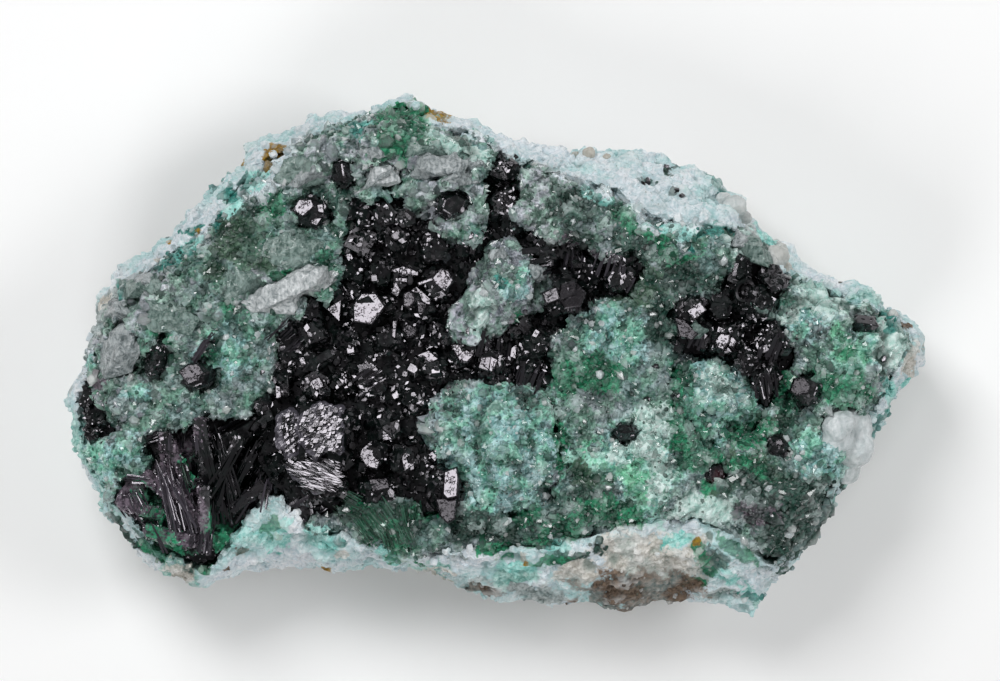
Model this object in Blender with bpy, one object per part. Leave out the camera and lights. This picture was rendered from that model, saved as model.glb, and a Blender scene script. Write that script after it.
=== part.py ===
"""Atacamite specimen: black-green crystals on quartz druse and copper-stained rock.

The specimen lies on its broken back with the crystal-covered face up. X runs along it, Y across
it and Z up, and the origin is the middle of the flat patch that it rests on. Lengths are in
millimetres while a mesh is being shaped, and MM turns them into metres when it becomes an object.
"""
import math
import random

import bmesh
import bpy
from mathutils import Matrix, Vector, noise
from mathutils.geometry import convex_hull_2d, delaunay_2d_cdt

MM = 0.001

# Driving dimensions, in millimetres
FACE_TOP = 17.0
FACE_DROP_ALONG = 3.0
FACE_DROP_ACROSS = 1.6
HALF_LENGTH = 36.2
HALF_WIDTH = 22.1
POCKET_FLOOR = 10.6
WAIST_HEIGHT = 8.6
GAP = 0.36
BED_GAP = 0.3

DRUSE_SPACING = 1.4
DRUSE_TIP = 0.8
RIM_SPACING = 2.1
EDGE_STEP = 1.5
CRYSTAL_ROOT = 0.9
ROOF_HEIGHT = {"table": 0.42, "chisel": 0.62, "flat": 0.0}
FOOT_SHARE = 0.86
TABLE_SHARE = 0.66
FLAT_ANGLE = math.radians(0.6)
CLEARING = 1.45
RIDGE_SHARE = 0.5
BLOCK_SLABS = 3
BLOCK_STEP = 0.45
BLADE_HEIGHT = 3.2
LONE_DEPTH = 1.5
CLEAR_SLOPE = 0.12
ABOVE_ALL = 26.0

# Top of each cluster's bed, and the small crystals between the large ones: their spacing, their
# least and most size, and how far the least and the tallest stand over the bed
CLUSTER_BEDS = {
    "atacamite_main_cluster": (14.5, 2.75, (1.15, 1.6), (0.7, 2.0)),
    "atacamite_right_cluster": (14.9, 2.6, (1.1, 1.6), (0.8, 1.9)),
    "atacamite_blades": (13.2, 4.6, (1.1, 1.5), (0.8, 1.8)),
    "atacamite_left_cluster": (12.9, 1.9, (0.9, 1.3), (0.9, 1.9)),
}

# Breaks that the back of the rock is made of: heading, slope, way from the middle to its start
BACK_BREAKS = (
    (4, 27, 21.0), (38, 36, 21.5), (86, 40, 11.5), (118, 30, 12.5), (150, 26, 19.0),
    (186, 20, 17.5), (228, 30, 19.5), (266, 33, 9.5), (292, 25, 11.0), (326, 34, 22.5),
)

# Rings that carry the back from the waist to the flat patch: share of the outline, lumps
BACK_RINGS = ((0.965, 0.6), (0.83, 0.9), (0.66, 0.45), (0.5, 0.0))
WAIST_DROP = 2.0

# Broken outline of the rock, seen from above
ROCK_OUTLINE = (
    (-36.2, -3.6), (-34.9, -0.9), (-34.0, 2.2), (-33.2, 5.2), (-31.7, 7.2), (-28.8, 9.1),
    (-26.0, 11.6), (-24.2, 14.0), (-21.6, 16.1), (-20.8, 17.7), (-17.9, 18.8), (-16.6, 19.9),
    (-13.9, 20.6), (-10.8, 20.4), (-8.3, 22.0), (-7.1, 22.1), (-6.2, 21.0), (-2.0, 20.0),
    (1.3, 18.0), (5.4, 17.8), (6.6, 17.0), (7.7, 17.8), (9.9, 16.8), (11.3, 17.4),
    (14.1, 16.8), (18.2, 14.9), (18.9, 13.7), (20.2, 13.6), (21.4, 11.5), (23.7, 9.2),
    (24.8, 9.1), (24.8, 7.8), (28.8, 5.9), (31.2, 6.3), (32.9, 4.0), (34.2, 4.2),
    (36.2, 1.8), (35.5, -1.3), (33.8, -2.6), (32.7, -5.3), (30.8, -7.9), (28.8, -11.8),
    (27.4, -14.6), (24.3, -18.2), (22.2, -20.8), (21.6, -22.1), (20.3, -21.2), (16.0, -20.6),
    (11.9, -20.8), (10.8, -21.5), (9.2, -21.3), (8.3, -20.6), (4.8, -20.8), (0.3, -20.0),
    (-3.8, -19.1), (-7.1, -17.4), (-8.3, -18.0), (-11.1, -17.4), (-13.5, -18.0),
    (-18.0, -17.7), (-22.3, -18.4), (-24.4, -19.3), (-28.1, -18.2), (-30.3, -16.1),
    (-33.3, -12.5), (-33.7, -10.4), (-35.6, -7.0), (-35.7, -5.4),
)

# Edge of the pocket that the crystals grow in, with a rim of bare rock left outside it
POCKET_OUTLINE = (
    (-35.0, -3.6), (-33.6, -0.4), (-32.3, 4.0), (-30.8, 5.6), (-26.0, 9.2), (-23.6, 11.0),
    (-22.4, 13.2), (-19.5, 16.2), (-13.5, 19.0), (-8.6, 20.6), (-7.2, 20.6), (-6.0, 19.4),
    (-1.6, 18.4), (1.0, 16.6), (4.0, 15.5), (10.0, 13.5), (12.0, 12.0), (15.5, 11.0),
    (19.6, 10.6), (22.6, 7.8), (26.4, 5.8), (30.6, 4.6), (34.0, 2.2), (34.3, 0.6), (33.2, -1.2),
    (31.3, -5.0), (29.4, -8.2), (27.2, -12.4), (25.6, -14.8), (23.4, -16.8), (22.0, -16.5),
    (20.0, -14.5), (17.0, -13.5), (13.5, -13.5), (5.5, -15.5), (-5.5, -16.3), (-10.5, -15.5),
    (-16.5, -14.0), (-17.4, -12.8), (-18.0, -11.5), (-19.5, -12.0), (-22.2, -15.4),
    (-23.4, -17.2), (-25.0, -17.6), (-28.4, -15.9), (-32.1, -11.8), (-34.0, -8.3), (-34.6, -6.0),
)

# Ground that each mound and each crystal cluster covers, the first named lying over the later ones
ZONES = {
    "quartz_mound_centre": (
        (0.0, 9.0), (2.0, 9.0), (3.5, 8.0), (4.5, 6.5), (4.0, 4.5), (3.0, 3.0), (0.0, 3.0),
        (-1.0, 2.0), (-2.0, 0.5), (-3.5, 0.5), (-4.0, 2.5), (-3.5, 5.0), (-2.5, 6.0), (-1.5, 8.0),
    ),
    "quartz_mound_lower": (
        (-5.5, -4.0), (-4.0, -3.0), (-2.0, -2.0), (0.5, -1.5), (2.5, -2.0), (4.5, -3.0),
        (5.5, -4.5), (5.8, -7.0), (5.5, -9.5), (4.5, -11.5), (2.5, -12.5), (0.0, -13.0),
        (-2.0, -11.5), (-3.5, -9.5), (-5.5, -7.5), (-6.0, -6.0),
    ),
    "quartz_mound_right": (
        (15.0, -1.0), (16.0, 0.0), (18.0, 0.5), (20.0, -1.5), (21.5, -3.0), (22.5, -4.5),
        (21.5, -5.5), (19.5, -6.0), (18.0, -7.5), (16.0, -7.0), (14.5, -5.0), (14.0, -3.0),
    ),
    "atacamite_main_cluster": (
        (-12.0, 12.8), (-8.0, 13.0), (-6.5, 12.0), (-5.0, 10.0), (-3.0, 9.5), (-0.8, 10.5),
        (-0.8, 20.0), (1.8, 20.0), (2.2, 12.0), (3.5, 10.0), (7.0, 9.0), (12.0, 8.0),
        (12.5, 5.5), (8.5, 5.0), (6.0, 3.0), (5.0, 1.0), (4.5, -2.5), (2.0, -3.0), (-2.0, -3.0),
        (-5.5, -4.5), (-6.0, -7.0), (-4.5, -8.5), (-2.5, -10.5), (-2.0, -13.0), (-4.0, -14.0),
        (-6.0, -13.0), (-8.0, -12.0), (-11.5, -12.5), (-16.0, -13.5), (-19.0, -11.0),
        (-20.0, -9.5), (-19.5, -3.0), (-18.0, -1.0), (-18.5, 2.5), (-16.5, 4.0), (-13.5, 4.5),
        (-12.5, 7.0), (-13.0, 9.5),
    ),
    "atacamite_right_cluster": (
        (19.0, 8.0), (20.0, 9.0), (21.5, 8.0), (22.5, 7.0), (24.5, 7.5), (24.5, 6.0),
        (22.8, 5.0), (23.0, 3.5), (24.5, 2.5), (25.0, 0.5), (23.5, -1.5), (23.6, -4.0),
        (23.0, -5.0), (21.0, -3.5), (20.0, -1.5), (18.0, 0.0), (16.0, 1.0), (14.5, 0.5),
        (14.0, 1.5), (15.0, 3.0), (14.5, 5.0), (15.5, 5.5), (17.5, 5.0), (19.0, 4.5),
    ),
    "atacamite_blades": (
        (-32.0, -12.6), (-32.0, -10.8), (-29.4, -9.4), (-28.6, -6.3), (-25.5, -6.1),
        (-25.2, -4.3), (-23.4, -4.3), (-22.7, -6.1), (-19.5, -3.6), (-17.2, -3.3),
        (-18.0, -6.9), (-18.0, -11.9), (-19.5, -12.2), (-24.0, -19.0), (-28.0, -18.0),
        (-32.5, -14.0),
    ),
    "atacamite_left_cluster": (
        (-36.0, -3.6), (-33.0, -2.3), (-31.8, -4.0), (-31.4, -5.5), (-30.8, -6.5),
        (-31.0, -7.6), (-33.5, -7.2), (-36.0, -6.4),
    ),
}
LEFT_CRUST_END = -18.5
SETTLE_ROUNDS = 3
CHANNEL_MIDDLE = 0.5

# Broad rises and dips of the crust: middle x, y, half-widths along x and y, height
CRUST_SWELLS = (
    (-29.5, 3.0, 4.5, 3.5, 1.5), (-21.0, 6.5, 6.0, 4.0, 1.0), (-23.0, 0.5, 4.0, 3.0, -0.6),
    (-9.0, 17.0, 7.5, 2.4, 1.6), (-8.0, 20.0, 2.5, 2.0, 0.8), (-3.0, 14.5, 4.5, 2.2, 0.9),
    (7.0, 11.0, 5.0, 3.0, 0.4), (15.0, 8.0, 5.0, 3.0, -0.5), (10.0, -1.0, 4.0, 4.5, -1.0),
    (10.0, -8.5, 4.5, 3.5, 1.0), (30.0, 0.5, 4.5, 4.0, 1.5), (26.0, -5.0, 3.0, 2.5, -0.9),
    (24.5, -11.0, 4.5, 4.0, 0.9), (18.0, -10.5, 3.0, 2.5, -0.7), (0.0, -15.5, 16.0, 2.0, -1.4),
    (-33.0, -9.5, 2.0, 3.0, -0.8),
)

# Height of a mound over its own edge, and how far in from the edge it reaches its full height
MOUND_RISE = {
    "quartz_mound_centre": (3.6, 3.2),
    "quartz_mound_lower": (4.0, 5.0),
    "quartz_mound_right": (2.8, 3.2),
}

# Crystals that stand out in the main cluster: x, y, across, top height, lean, heading, roof
MAIN_CRYSTALS = (
    (-10.8, 4.1, 1.45, 17.4, 8, 200, "table"), (-4.7, 6.2, 1.20, 17.2, 12, 60, "flat"),
    (-6.5, 4.7, 1.25, 17.6, 14, 120, "chisel"), (-7.8, 6.5, 0.85, 16.6, 20, 30, "flat"),
    (-13.3, 4.2, 1.05, 16.6, 16, 250, "chisel"), (-9.6, 6.9, 1.00, 16.5, 10, 320, "flat"),
    (-5.5, -0.7, 1.35, 16.6, 8, 150, "table"), (-2.9, 0.0, 1.00, 16.2, 12, 300, "chisel"),
    (-0.5, -0.6, 1.15, 16.8, 10, 270, "flat"), (-10.3, -8.2, 1.35, 17.0, 12, 220, "table"),
    (-7.6, -8.6, 1.05, 16.8, 18, 340, "flat"), (-15.5, -0.4, 0.95, 16.4, 20, 180, "flat"),
    (-15.0, -2.2, 1.15, 16.6, 10, 90, "flat"), (5.7, 5.2, 1.70, 18.6, 12, 350, "table"),
    (2.6, -0.9, 1.35, 16.8, 16, 240, "chisel"), (0.6, 12.8, 1.10, 16.8, 12, 100, "flat"),
    (0.9, 15.4, 0.95, 16.6, 10, 20, "chisel"), (1.2, 10.9, 0.90, 16.0, 18, 200, "flat"),
    (-10.9, 11.9, 0.95, 17.0, 12, 130, "chisel"), (-9.2, 11.8, 1.05, 17.3, 15, 70, "flat"),
    (-7.5, 11.5, 0.90, 17.0, 20, 10, "flat"), (-8.3, 9.8, 1.10, 16.8, 10, 260, "flat"),
    (7.4, 7.1, 1.35, 17.0, 14, 110, "chisel"), (10.4, 6.6, 1.20, 16.8, 12, 30, "flat"),
    (4.0, 8.6, 1.05, 17.0, 20, 80, "flat"), (-12.2, 1.1, 1.20, 16.2, 14, 310, "chisel"),
    (-9.1, 1.6, 1.30, 16.4, 10, 45, "table"), (-7.0, -3.6, 1.20, 16.0, 16, 190, "chisel"),
    (-10.4, -2.2, 1.25, 16.1, 12, 280, "flat"), (-12.0, -5.0, 1.10, 16.3, 18, 20, "chisel"),
    (-9.0, -5.6, 1.20, 16.0, 14, 100, "flat"), (-18.4, -9.0, 1.00, 16.2, 20, 210, "chisel"),
    (3.4, 1.2, 1.30, 17.0, 18, 60, "table"), (-1.2, 1.3, 1.05, 16.9, 16, 20, "chisel"),
)
RIGHT_CRYSTALS = (
    (15.9, 4.0, 1.65, 18.3, 8, 330, "table"), (19.1, 1.7, 1.55, 17.9, 6, 40, "table"),
    (21.4, 4.8, 1.60, 18.0, 14, 120, "chisel"), (20.3, 7.6, 1.20, 17.2, 16, 80, "chisel"),
    (23.4, 6.6, 1.25, 17.0, 18, 10, "flat"), (22.8, 1.3, 1.55, 17.8, 12, 200, "chisel"),
    (22.3, -2.0, 1.30, 17.2, 16, 250, "table"), (17.0, 2.0, 1.20, 17.2, 14, 160, "flat"),
    (15.1, 1.3, 0.95, 16.6, 18, 290, "flat"), (18.7, 4.2, 1.10, 17.2, 20, 75, "flat"),
    (20.9, -0.6, 1.20, 17.4, 12, 310, "flat"),
)

# Etched, striated blocks in the main cluster: x, y, length, width, top height, heading
ETCHED_BLOCKS = (
    (-14.6, -6.6, 5.6, 4.4, 18.4, 80), (-14.4, -10.2, 4.4, 3.0, 17.6, 15),
    (-3.8, -10.9, 4.2, 1.5, 18.0, 94),
)

# Blades of the fan: x and y of the middle, length, width, thickness, heading, rise
BLADES = (
    (-24.3, -7.6, 7.4, 1.25, 0.95, 97, 16), (-21.2, -6.4, 6.2, 1.15, 0.90, 30, 14),
    (-22.6, -9.2, 6.6, 1.05, 0.80, 62, 20), (-20.2, -8.4, 5.4, 1.00, 0.80, 48, 22),
    (-18.9, -10.2, 4.2, 0.90, 0.70, 70, 26), (-20.6, -11.6, 4.6, 0.95, 0.70, 40, 18),
    (-26.6, -8.6, 6.0, 1.05, 0.80, 115, 18), (-28.4, -10.6, 5.6, 1.10, 0.85, 140, 14),
    (-26.2, -11.8, 6.0, 1.00, 0.75, 128, 20), (-29.6, -12.6, 4.4, 1.10, 0.80, 160, 12),
    (-24.2, -13.0, 5.2, 1.05, 0.75, 90, 24), (-27.2, -14.9, 4.6, 1.20, 0.85, 165, 10),
    (-18.3, -7.0, 4.4, 0.95, 0.75, 78, 16),
)

# Crystals that stand alone: x, y, across, second width, top over the crust, lean, heading, roof
LONE_CRYSTALS = {
    "atacamite_crystal_upper_left": (-15.2, 12.1, 1.45, 1.45, 1.5, 10, 40, "table"),
    "atacamite_crystal_top_left": (-12.7, 15.5, 1.20, 1.10, 1.1, 14, 100, "chisel"),
    "atacamite_crystal_in_quartz": (-3.5, 12.6, 1.55, 1.15, 1.0, 8, 20, "table"),
    "atacamite_crystal_far_right": (30.5, 2.8, 1.30, 0.80, 0.8, 10, 170, "chisel"),
    "atacamite_crystal_right": (25.9, -2.6, 1.35, 1.20, 1.3, 12, 70, "table"),
    "atacamite_crystal_lower_right": (23.2, -7.2, 1.15, 1.00, 1.0, 14, 130, "chisel"),
    "atacamite_crystal_bottom_right": (18.3, -9.6, 0.95, 0.85, 0.9, 10, 30, "table"),
    "atacamite_crystal_middle": (10.9, -6.2, 1.10, 0.80, 0.9, 8, 5, "chisel"),
    "atacamite_crystal_left": (-25.0, -1.7, 1.35, 1.20, 1.3, 12, 200, "table"),
    "atacamite_crystal_pair_left": (-28.2, 0.0, 2.10, 0.90, 1.1, 6, 75, "chisel"),
}

# Clear quartz and calcite: outline corners seen from above, then the height over the crust
CLEAR_PIECES = {
    "calcite_plate_left": (
        ((-30.9, 3.2), (-29.8, 1.9), (-30.2, -0.7), (-31.8, -1.3), (-32.5, 0.0), (-32.2, 2.0)), 0.9,
    ),
    "quartz_blade_upper_left": (
        ((-13.8, 7.6), (-14.2, 6.0), (-16.8, 4.8), (-20.0, 3.6), (-19.4, 5.6), (-16.2, 7.4)), 1.1,
    ),
    "quartz_block_top": (
        ((-10.4, 15.9), (-8.6, 15.9), (-7.8, 14.5), (-9.0, 14.1), (-10.6, 14.4)), 1.1,
    ),
    "quartz_ridge_top": (
        ((-5.8, 16.6), (-3.4, 16.8), (-2.2, 15.9), (-2.5, 15.1), (-5.2, 14.9), (-6.6, 15.5)), 1.2,
    ),
    "quartz_chunk_right": (
        ((27.6, -4.4), (29.6, -4.5), (30.0, -5.8), (28.9, -7.3), (28.0, -7.2), (27.1, -5.8)), 1.2,
    ),
}


def clear_scene():
    """Empty the file, so that only the specimen is in it."""
    for item in list(bpy.data.objects):
        bpy.data.objects.remove(item, do_unlink=True)


def make_material(name, colour, roughness, transmission=0.0, ior=1.5):
    """A Principled material with one colour."""
    material = bpy.data.materials.new(name)
    material.use_nodes = True
    shader = material.node_tree.nodes["Principled BSDF"]
    shader.inputs["Base Color"].default_value = (*colour, 1.0)
    shader.inputs["Roughness"].default_value = roughness
    shader.inputs["Transmission Weight"].default_value = transmission
    shader.inputs["IOR"].default_value = ior
    material.diffuse_color = (*colour, 1.0)
    return material


def make_object(name, bm, material=None):
    """Turn a mesh shaped in millimetres into an object in metres."""
    bmesh.ops.recalc_face_normals(bm, faces=bm.faces[:])
    bmesh.ops.scale(bm, vec=(MM, MM, MM), verts=bm.verts[:])
    mesh = bpy.data.meshes.new(name)
    bm.to_mesh(mesh)
    bm.free()
    if material:
        mesh.materials.append(material)
    item = bpy.data.objects.new(name, mesh)
    bpy.context.scene.collection.objects.link(item)
    return item


def make_cutter(name, bm):
    """An object that only shapes another one."""
    item = make_object(name, bm)
    item.display_type = "WIRE"
    item.hide_render = True
    return item


def add_boolean(item, operand, operation):
    """Join a helper to an object, or cut the object with it."""
    boolean = item.modifiers.new(operation.lower(), "BOOLEAN")
    boolean.solver = "EXACT"
    boolean.operation = operation
    boolean.object = operand
    return boolean


def is_inside(x, y, outline):
    """Whether a point lies inside a closed outline."""
    inside = False
    for (ax, ay), (bx, by) in zip(outline, outline[1:] + outline[:1]):
        if (ay > y) != (by > y) and x < ax + (bx - ax) * (y - ay) / (by - ay):
            inside = not inside
    return inside


def distance_to(x, y, outline):
    """Shortest way from a point to a closed outline."""
    best = HALF_LENGTH
    for (ax, ay), (bx, by) in zip(outline, outline[1:] + outline[:1]):
        dx, dy = bx - ax, by - ay
        along = ((x - ax) * dx + (y - ay) * dy) / (dx * dx + dy * dy)
        along = min(1.0, max(0.0, along))
        best = min(best, math.hypot(x - ax - along * dx, y - ay - along * dy))
    return best


def divide_outline(outline, step):
    """The outline with its long sides divided into about equal steps."""
    points = []
    for (ax, ay), (bx, by) in zip(outline, outline[1:] + outline[:1]):
        count = max(1, round(math.hypot(bx - ax, by - ay) / step))
        for index in range(count):
            part = index / count
            points.append((ax + (bx - ax) * part, ay + (by - ay) * part))
    return points


def lattice(spacing, jitter, rng):
    """Points in rows of triangles, each with a flag that marks every third one as a tip."""
    rows = int(HALF_WIDTH / (spacing * 0.866)) + 1
    columns = int(HALF_LENGTH / spacing) + rows
    for row in range(-rows, rows + 1):
        for column in range(-columns, columns + 1):
            x = (column + row / 2) * spacing + rng.uniform(-jitter, jitter)
            y = row * spacing * 0.866 + rng.uniform(-jitter, jitter)
            yield x, y, (column - row) % 3 == 0


def rough(x, y, z, size, seed):
    """Smooth noise from about -1 to 1 with lumps of the given size."""
    return noise.noise(Vector((x / size + seed, y / size - seed, z / size)))


def bow(x, y):
    """Height of the gently domed face, without any relief."""
    return FACE_TOP - FACE_DROP_ALONG * (x / HALF_LENGTH) ** 2 - FACE_DROP_ACROSS * (y / HALF_WIDTH) ** 2


def crust_height(x, y):
    """Height of the quartz crust, falling to the rim where it ends."""
    swell = 0.0
    for middle_x, middle_y, wide, deep, height in CRUST_SWELLS:
        reach = ((x - middle_x) / wide) ** 2 + ((y - middle_y) / deep) ** 2
        swell += height * math.exp(-reach)
    edge = min(1.0, distance_to(x, y, POCKET_OUTLINE) / 2.2)
    shoulder = math.sin(edge * math.pi / 2)
    relief = 0.9 * rough(x, y, 0.0, 4.2, 3.1) + 0.35 * rough(x, y, 0.0, 1.7, 8.4)
    return bow(x, y) - 1.2 + (1.2 + swell + relief) * shoulder


def mound_height(name, x, y):
    """Height of a mound, rounding up from its edge."""
    rise, shoulder = MOUND_RISE[name]
    edge = min(1.0, distance_to(x, y, ZONES[name]) / shoulder)
    return bow(x, y) - 1.4 + rise * math.sin(edge * math.pi / 2) + 0.5 * rough(x, y, 0.0, 2.4, 5.5)


def rim_height(x, y):
    """Height of the bare rock between the waist of the rock and the edge of the pocket."""
    outer = distance_to(x, y, ROCK_OUTLINE)
    inner = distance_to(x, y, POCKET_OUTLINE)
    rise = math.sin(outer / (outer + inner) * math.pi / 2)
    waist = WAIST_HEIGHT + 1.6 * rough(x, y, 0.0, 7.0, 1.2)
    ledge = 0.9 * rough(x, y, 0.0, 2.1, 6.6) * min(1.0, outer, inner)
    return waist + (bow(x, y) - 0.7 - waist) * rise + ledge


class Ground:
    """The specimen seen from above, divided into triangles that each belong to one zone."""

    def __init__(self):
        rng = random.Random(41)
        rock = divide_outline(ROCK_OUTLINE, RIM_SPACING)
        pocket = divide_outline(POCKET_OUTLINE, EDGE_STEP)
        points = rock + pocket
        tips = [False] * len(points)
        for x, y, is_tip in lattice(DRUSE_SPACING, 0.16, rng):
            if is_inside(x, y, POCKET_OUTLINE) and distance_to(x, y, POCKET_OUTLINE) > 0.6:
                points.append((x, y))
                tips.append(is_tip)
        for x, y, _ in lattice(RIM_SPACING, 0.35, rng):
            on_rim = is_inside(x, y, ROCK_OUTLINE) and not is_inside(x, y, POCKET_OUTLINE)
            if on_rim and min(distance_to(x, y, ROCK_OUTLINE), distance_to(x, y, POCKET_OUTLINE)) > 0.8:
                points.append((x, y))
                tips.append(False)
        rock_ring = range(len(rock))
        pocket_ring = range(len(rock), len(rock) + len(pocket))
        edges = ring_edges(rock_ring) + ring_edges(pocket_ring)
        result = delaunay_2d_cdt([Vector(point) for point in points], edges, [], 0, 1e-5)
        self.points = [tuple(point) for point in result[0]]
        self.tips = [any(tips[source] for source in sources) for sources in result[3]]
        self.triangles = [tuple(face) for face in result[2]]
        self.zones = [self.zone_at(*self.middle(triangle)) for triangle in self.triangles]
        self.neighbours = self.find_neighbours()
        self.settle()

    def middle(self, triangle):
        """Middle of a triangle."""
        corners = [self.points[index] for index in triangle]
        return sum(corner[0] for corner in corners) / 3, sum(corner[1] for corner in corners) / 3

    def zone_at(self, x, y):
        """Name of the zone that a point lies in, or None outside the rock."""
        if not is_inside(x, y, ROCK_OUTLINE):
            return None
        if not is_inside(x, y, POCKET_OUTLINE):
            return "rim"
        for name, outline in ZONES.items():
            if is_inside(x, y, outline):
                return name
        is_left = x < LEFT_CRUST_END or (y > 0.0 and x < CHANNEL_MIDDLE)
        return "quartz_crust_left" if is_left else "quartz_crust_right"

    def find_neighbours(self):
        """The triangles across each triangle's three sides."""
        by_edge = {}
        for number, triangle in enumerate(self.triangles):
            for edge in triangle_edges(triangle):
                by_edge.setdefault(edge, []).append(number)
        neighbours = []
        for number, triangle in enumerate(self.triangles):
            across = [other for edge in triangle_edges(triangle) for other in by_edge[edge]]
            neighbours.append([other for other in across if other != number])
        return neighbours

    def grown_zones(self):
        """Names of the zones inside the pocket."""
        return sorted({zone for zone in self.zones if zone not in (None, "rim")})

    def settle(self):
        """Take the spikes, pinched corners and loose bits out of the zones' borders."""
        for _ in range(SETTLE_ROUNDS):
            self.smooth_borders()
            self.open_pinches()
            self.drop_islands()

    def move_to_neighbour(self, numbers):
        """Give some triangles to the zone that borders most of them."""
        votes = {}
        for number in numbers:
            for other in self.neighbours[number]:
                zone = self.zones[other]
                if other not in numbers and zone not in (None, "rim", self.zones[number]):
                    votes[zone] = votes.get(zone, 0) + 1
        if votes:
            winner = max(sorted(votes), key=votes.get)
            for number in numbers:
                self.zones[number] = winner

    def smooth_borders(self):
        """Move each triangle that has two sides on another zone into that zone."""
        for number, zone in enumerate(self.zones):
            if zone in (None, "rim"):
                continue
            around = [self.zones[other] for other in self.neighbours[number]]
            for other in self.grown_zones():
                if other != zone and around.count(other) >= 2:
                    self.zones[number] = other

    def joined_groups(self, numbers):
        """Split some triangles into groups that share sides."""
        left = set(numbers)
        groups = []
        while left:
            group = {min(left)}
            front = [min(left)]
            while front:
                for other in self.neighbours[front.pop()]:
                    if other in left and other not in group:
                        group.add(other)
                        front.append(other)
            left -= group
            groups.append(group)
        return sorted(groups, key=len, reverse=True)

    def open_pinches(self):
        """Where a zone touches itself at a corner only, give the smaller side away."""
        corners = {}
        for number, triangle in enumerate(self.triangles):
            for index in triangle:
                corners.setdefault(index, []).append(number)
        for numbers in corners.values():
            for zone in self.grown_zones():
                own = [number for number in numbers if self.zones[number] == zone]
                for group in self.joined_groups(own)[1:]:
                    self.move_to_neighbour(group)

    def drop_islands(self):
        """Leave each zone in one piece."""
        for zone in self.grown_zones():
            own = [number for number, owner in enumerate(self.zones) if owner == zone]
            for group in self.joined_groups(own)[1:]:
                self.move_to_neighbour(group)

    def sheet(self, zone, inset):
        """The flat faces of one zone, drawn in from its borders with the other zones."""
        bm = bmesh.new()
        tip_layer = bm.verts.layers.int.new("tip")
        made = {}
        for triangle, owner in zip(self.triangles, self.zones):
            if owner == zone:
                for index in triangle:
                    if index not in made:
                        made[index] = bm.verts.new((*self.points[index], 0.0))
                        made[index][tip_layer] = int(self.tips[index])
                bm.faces.new([made[index] for index in triangle])
        draw_in_border(bm, inset)
        return bm

    def body(self, zone, inset, floor, height_at, tip=0.0):
        """A zone raised from a flat floor to the height that a function gives, with druse tips."""
        bm = self.sheet(zone, inset)
        tip_layer = bm.verts.layers.int["tip"]
        for vert in bm.verts:
            if vert.is_boundary:
                vert[tip_layer] = 0
            vert.co.z = floor
        result = bmesh.ops.extrude_face_region(bm, geom=bm.faces[:])
        for vert in result["geom"]:
            if isinstance(vert, bmesh.types.BMVert):
                vert.co.z = height_at(vert.co.x, vert.co.y) + tip * vert[tip_layer]
        bm.normal_update()
        level = [face for face in bm.faces if abs(face.normal.z) > 0.99999]
        merge_flat(bm, level)
        return bm


def triangle_edges(triangle):
    """The three sides of a triangle, each as a sorted pair of point numbers."""
    first, second, third = triangle
    return [tuple(sorted(pair)) for pair in ((first, second), (second, third), (third, first))]


def ring_edges(numbers):
    """Pairs of point numbers that close a ring."""
    numbers = list(numbers)
    return list(zip(numbers, numbers[1:] + numbers[:1]))


def draw_in_border(bm, inset):
    """Move the border of a flat sheet inwards, except along the outline of the rock."""
    moves = {}
    for vert in bm.verts:
        if not vert.is_boundary or distance_to(vert.co.x, vert.co.y, ROCK_OUTLINE) < 0.01:
            continue
        sides = []
        for edge in vert.link_edges:
            if edge.is_boundary:
                along = edge.other_vert(vert).co - vert.co
                inward = Vector((-along.y, along.x, 0.0)).normalized()
                middle = edge.link_faces[0].calc_center_median()
                sides.append(inward if inward.dot(middle - vert.co) > 0.0 else -inward)
        total = sides[0] + sides[1]
        moves[vert] = total * inset / max(0.35, 1.0 + sides[0].dot(sides[1]))
    for vert, move in moves.items():
        vert.co += move


def merge_flat(bm, faces):
    """Merge faces that lie in one plane."""
    edges = list(dict.fromkeys(edge for face in faces for edge in face.edges))
    corners = list(dict.fromkeys(vert for face in faces for vert in face.verts))
    bmesh.ops.dissolve_limit(bm, angle_limit=FLAT_ANGLE, verts=corners, edges=edges)


def grow_crystal(bm, x, y, across, second, top, foot, lean, heading, roof, sides=6):
    """Add one prismatic crystal, its top at the point given and its foot cut off level."""
    length = top - foot
    roof_height = ROOF_HEIGHT[roof] * across
    points = []
    for corner in range(sides):
        angle = math.tau * corner / sides
        side = Vector((across * math.cos(angle), second * math.sin(angle), 0.0))
        points.append(FOOT_SHARE * side - Vector((0, 0, length)))
        points.append(side - Vector((0, 0, roof_height)))
        if roof == "table":
            points.append(TABLE_SHARE * side)
    if roof == "chisel":
        points.append(Vector((RIDGE_SHARE * across, 0.0, 0.0)))
        points.append(Vector((-RIDGE_SHARE * across, 0.0, 0.0)))
    turn = Matrix.Rotation(math.radians(heading), 3, "Z") @ Matrix.Rotation(math.radians(lean), 3, "Y")
    add_hull(bm, [turn @ point + Vector((x, y, top)) for point in points], foot)


def add_hull(bm, points, foot):
    """Add the closed hull of some points, with what reaches below the foot pressed up to it."""
    verts = [bm.verts.new((point.x, point.y, max(point.z, foot))) for point in points]
    hull = bmesh.ops.convex_hull(bm, input=verts)
    unused = [item for item in hull["geom_interior"] if isinstance(item, bmesh.types.BMVert)]
    bmesh.ops.delete(bm, geom=unused, context="VERTS")
    merge_flat(bm, [face for face in hull["geom"] if isinstance(face, bmesh.types.BMFace)])


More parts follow.
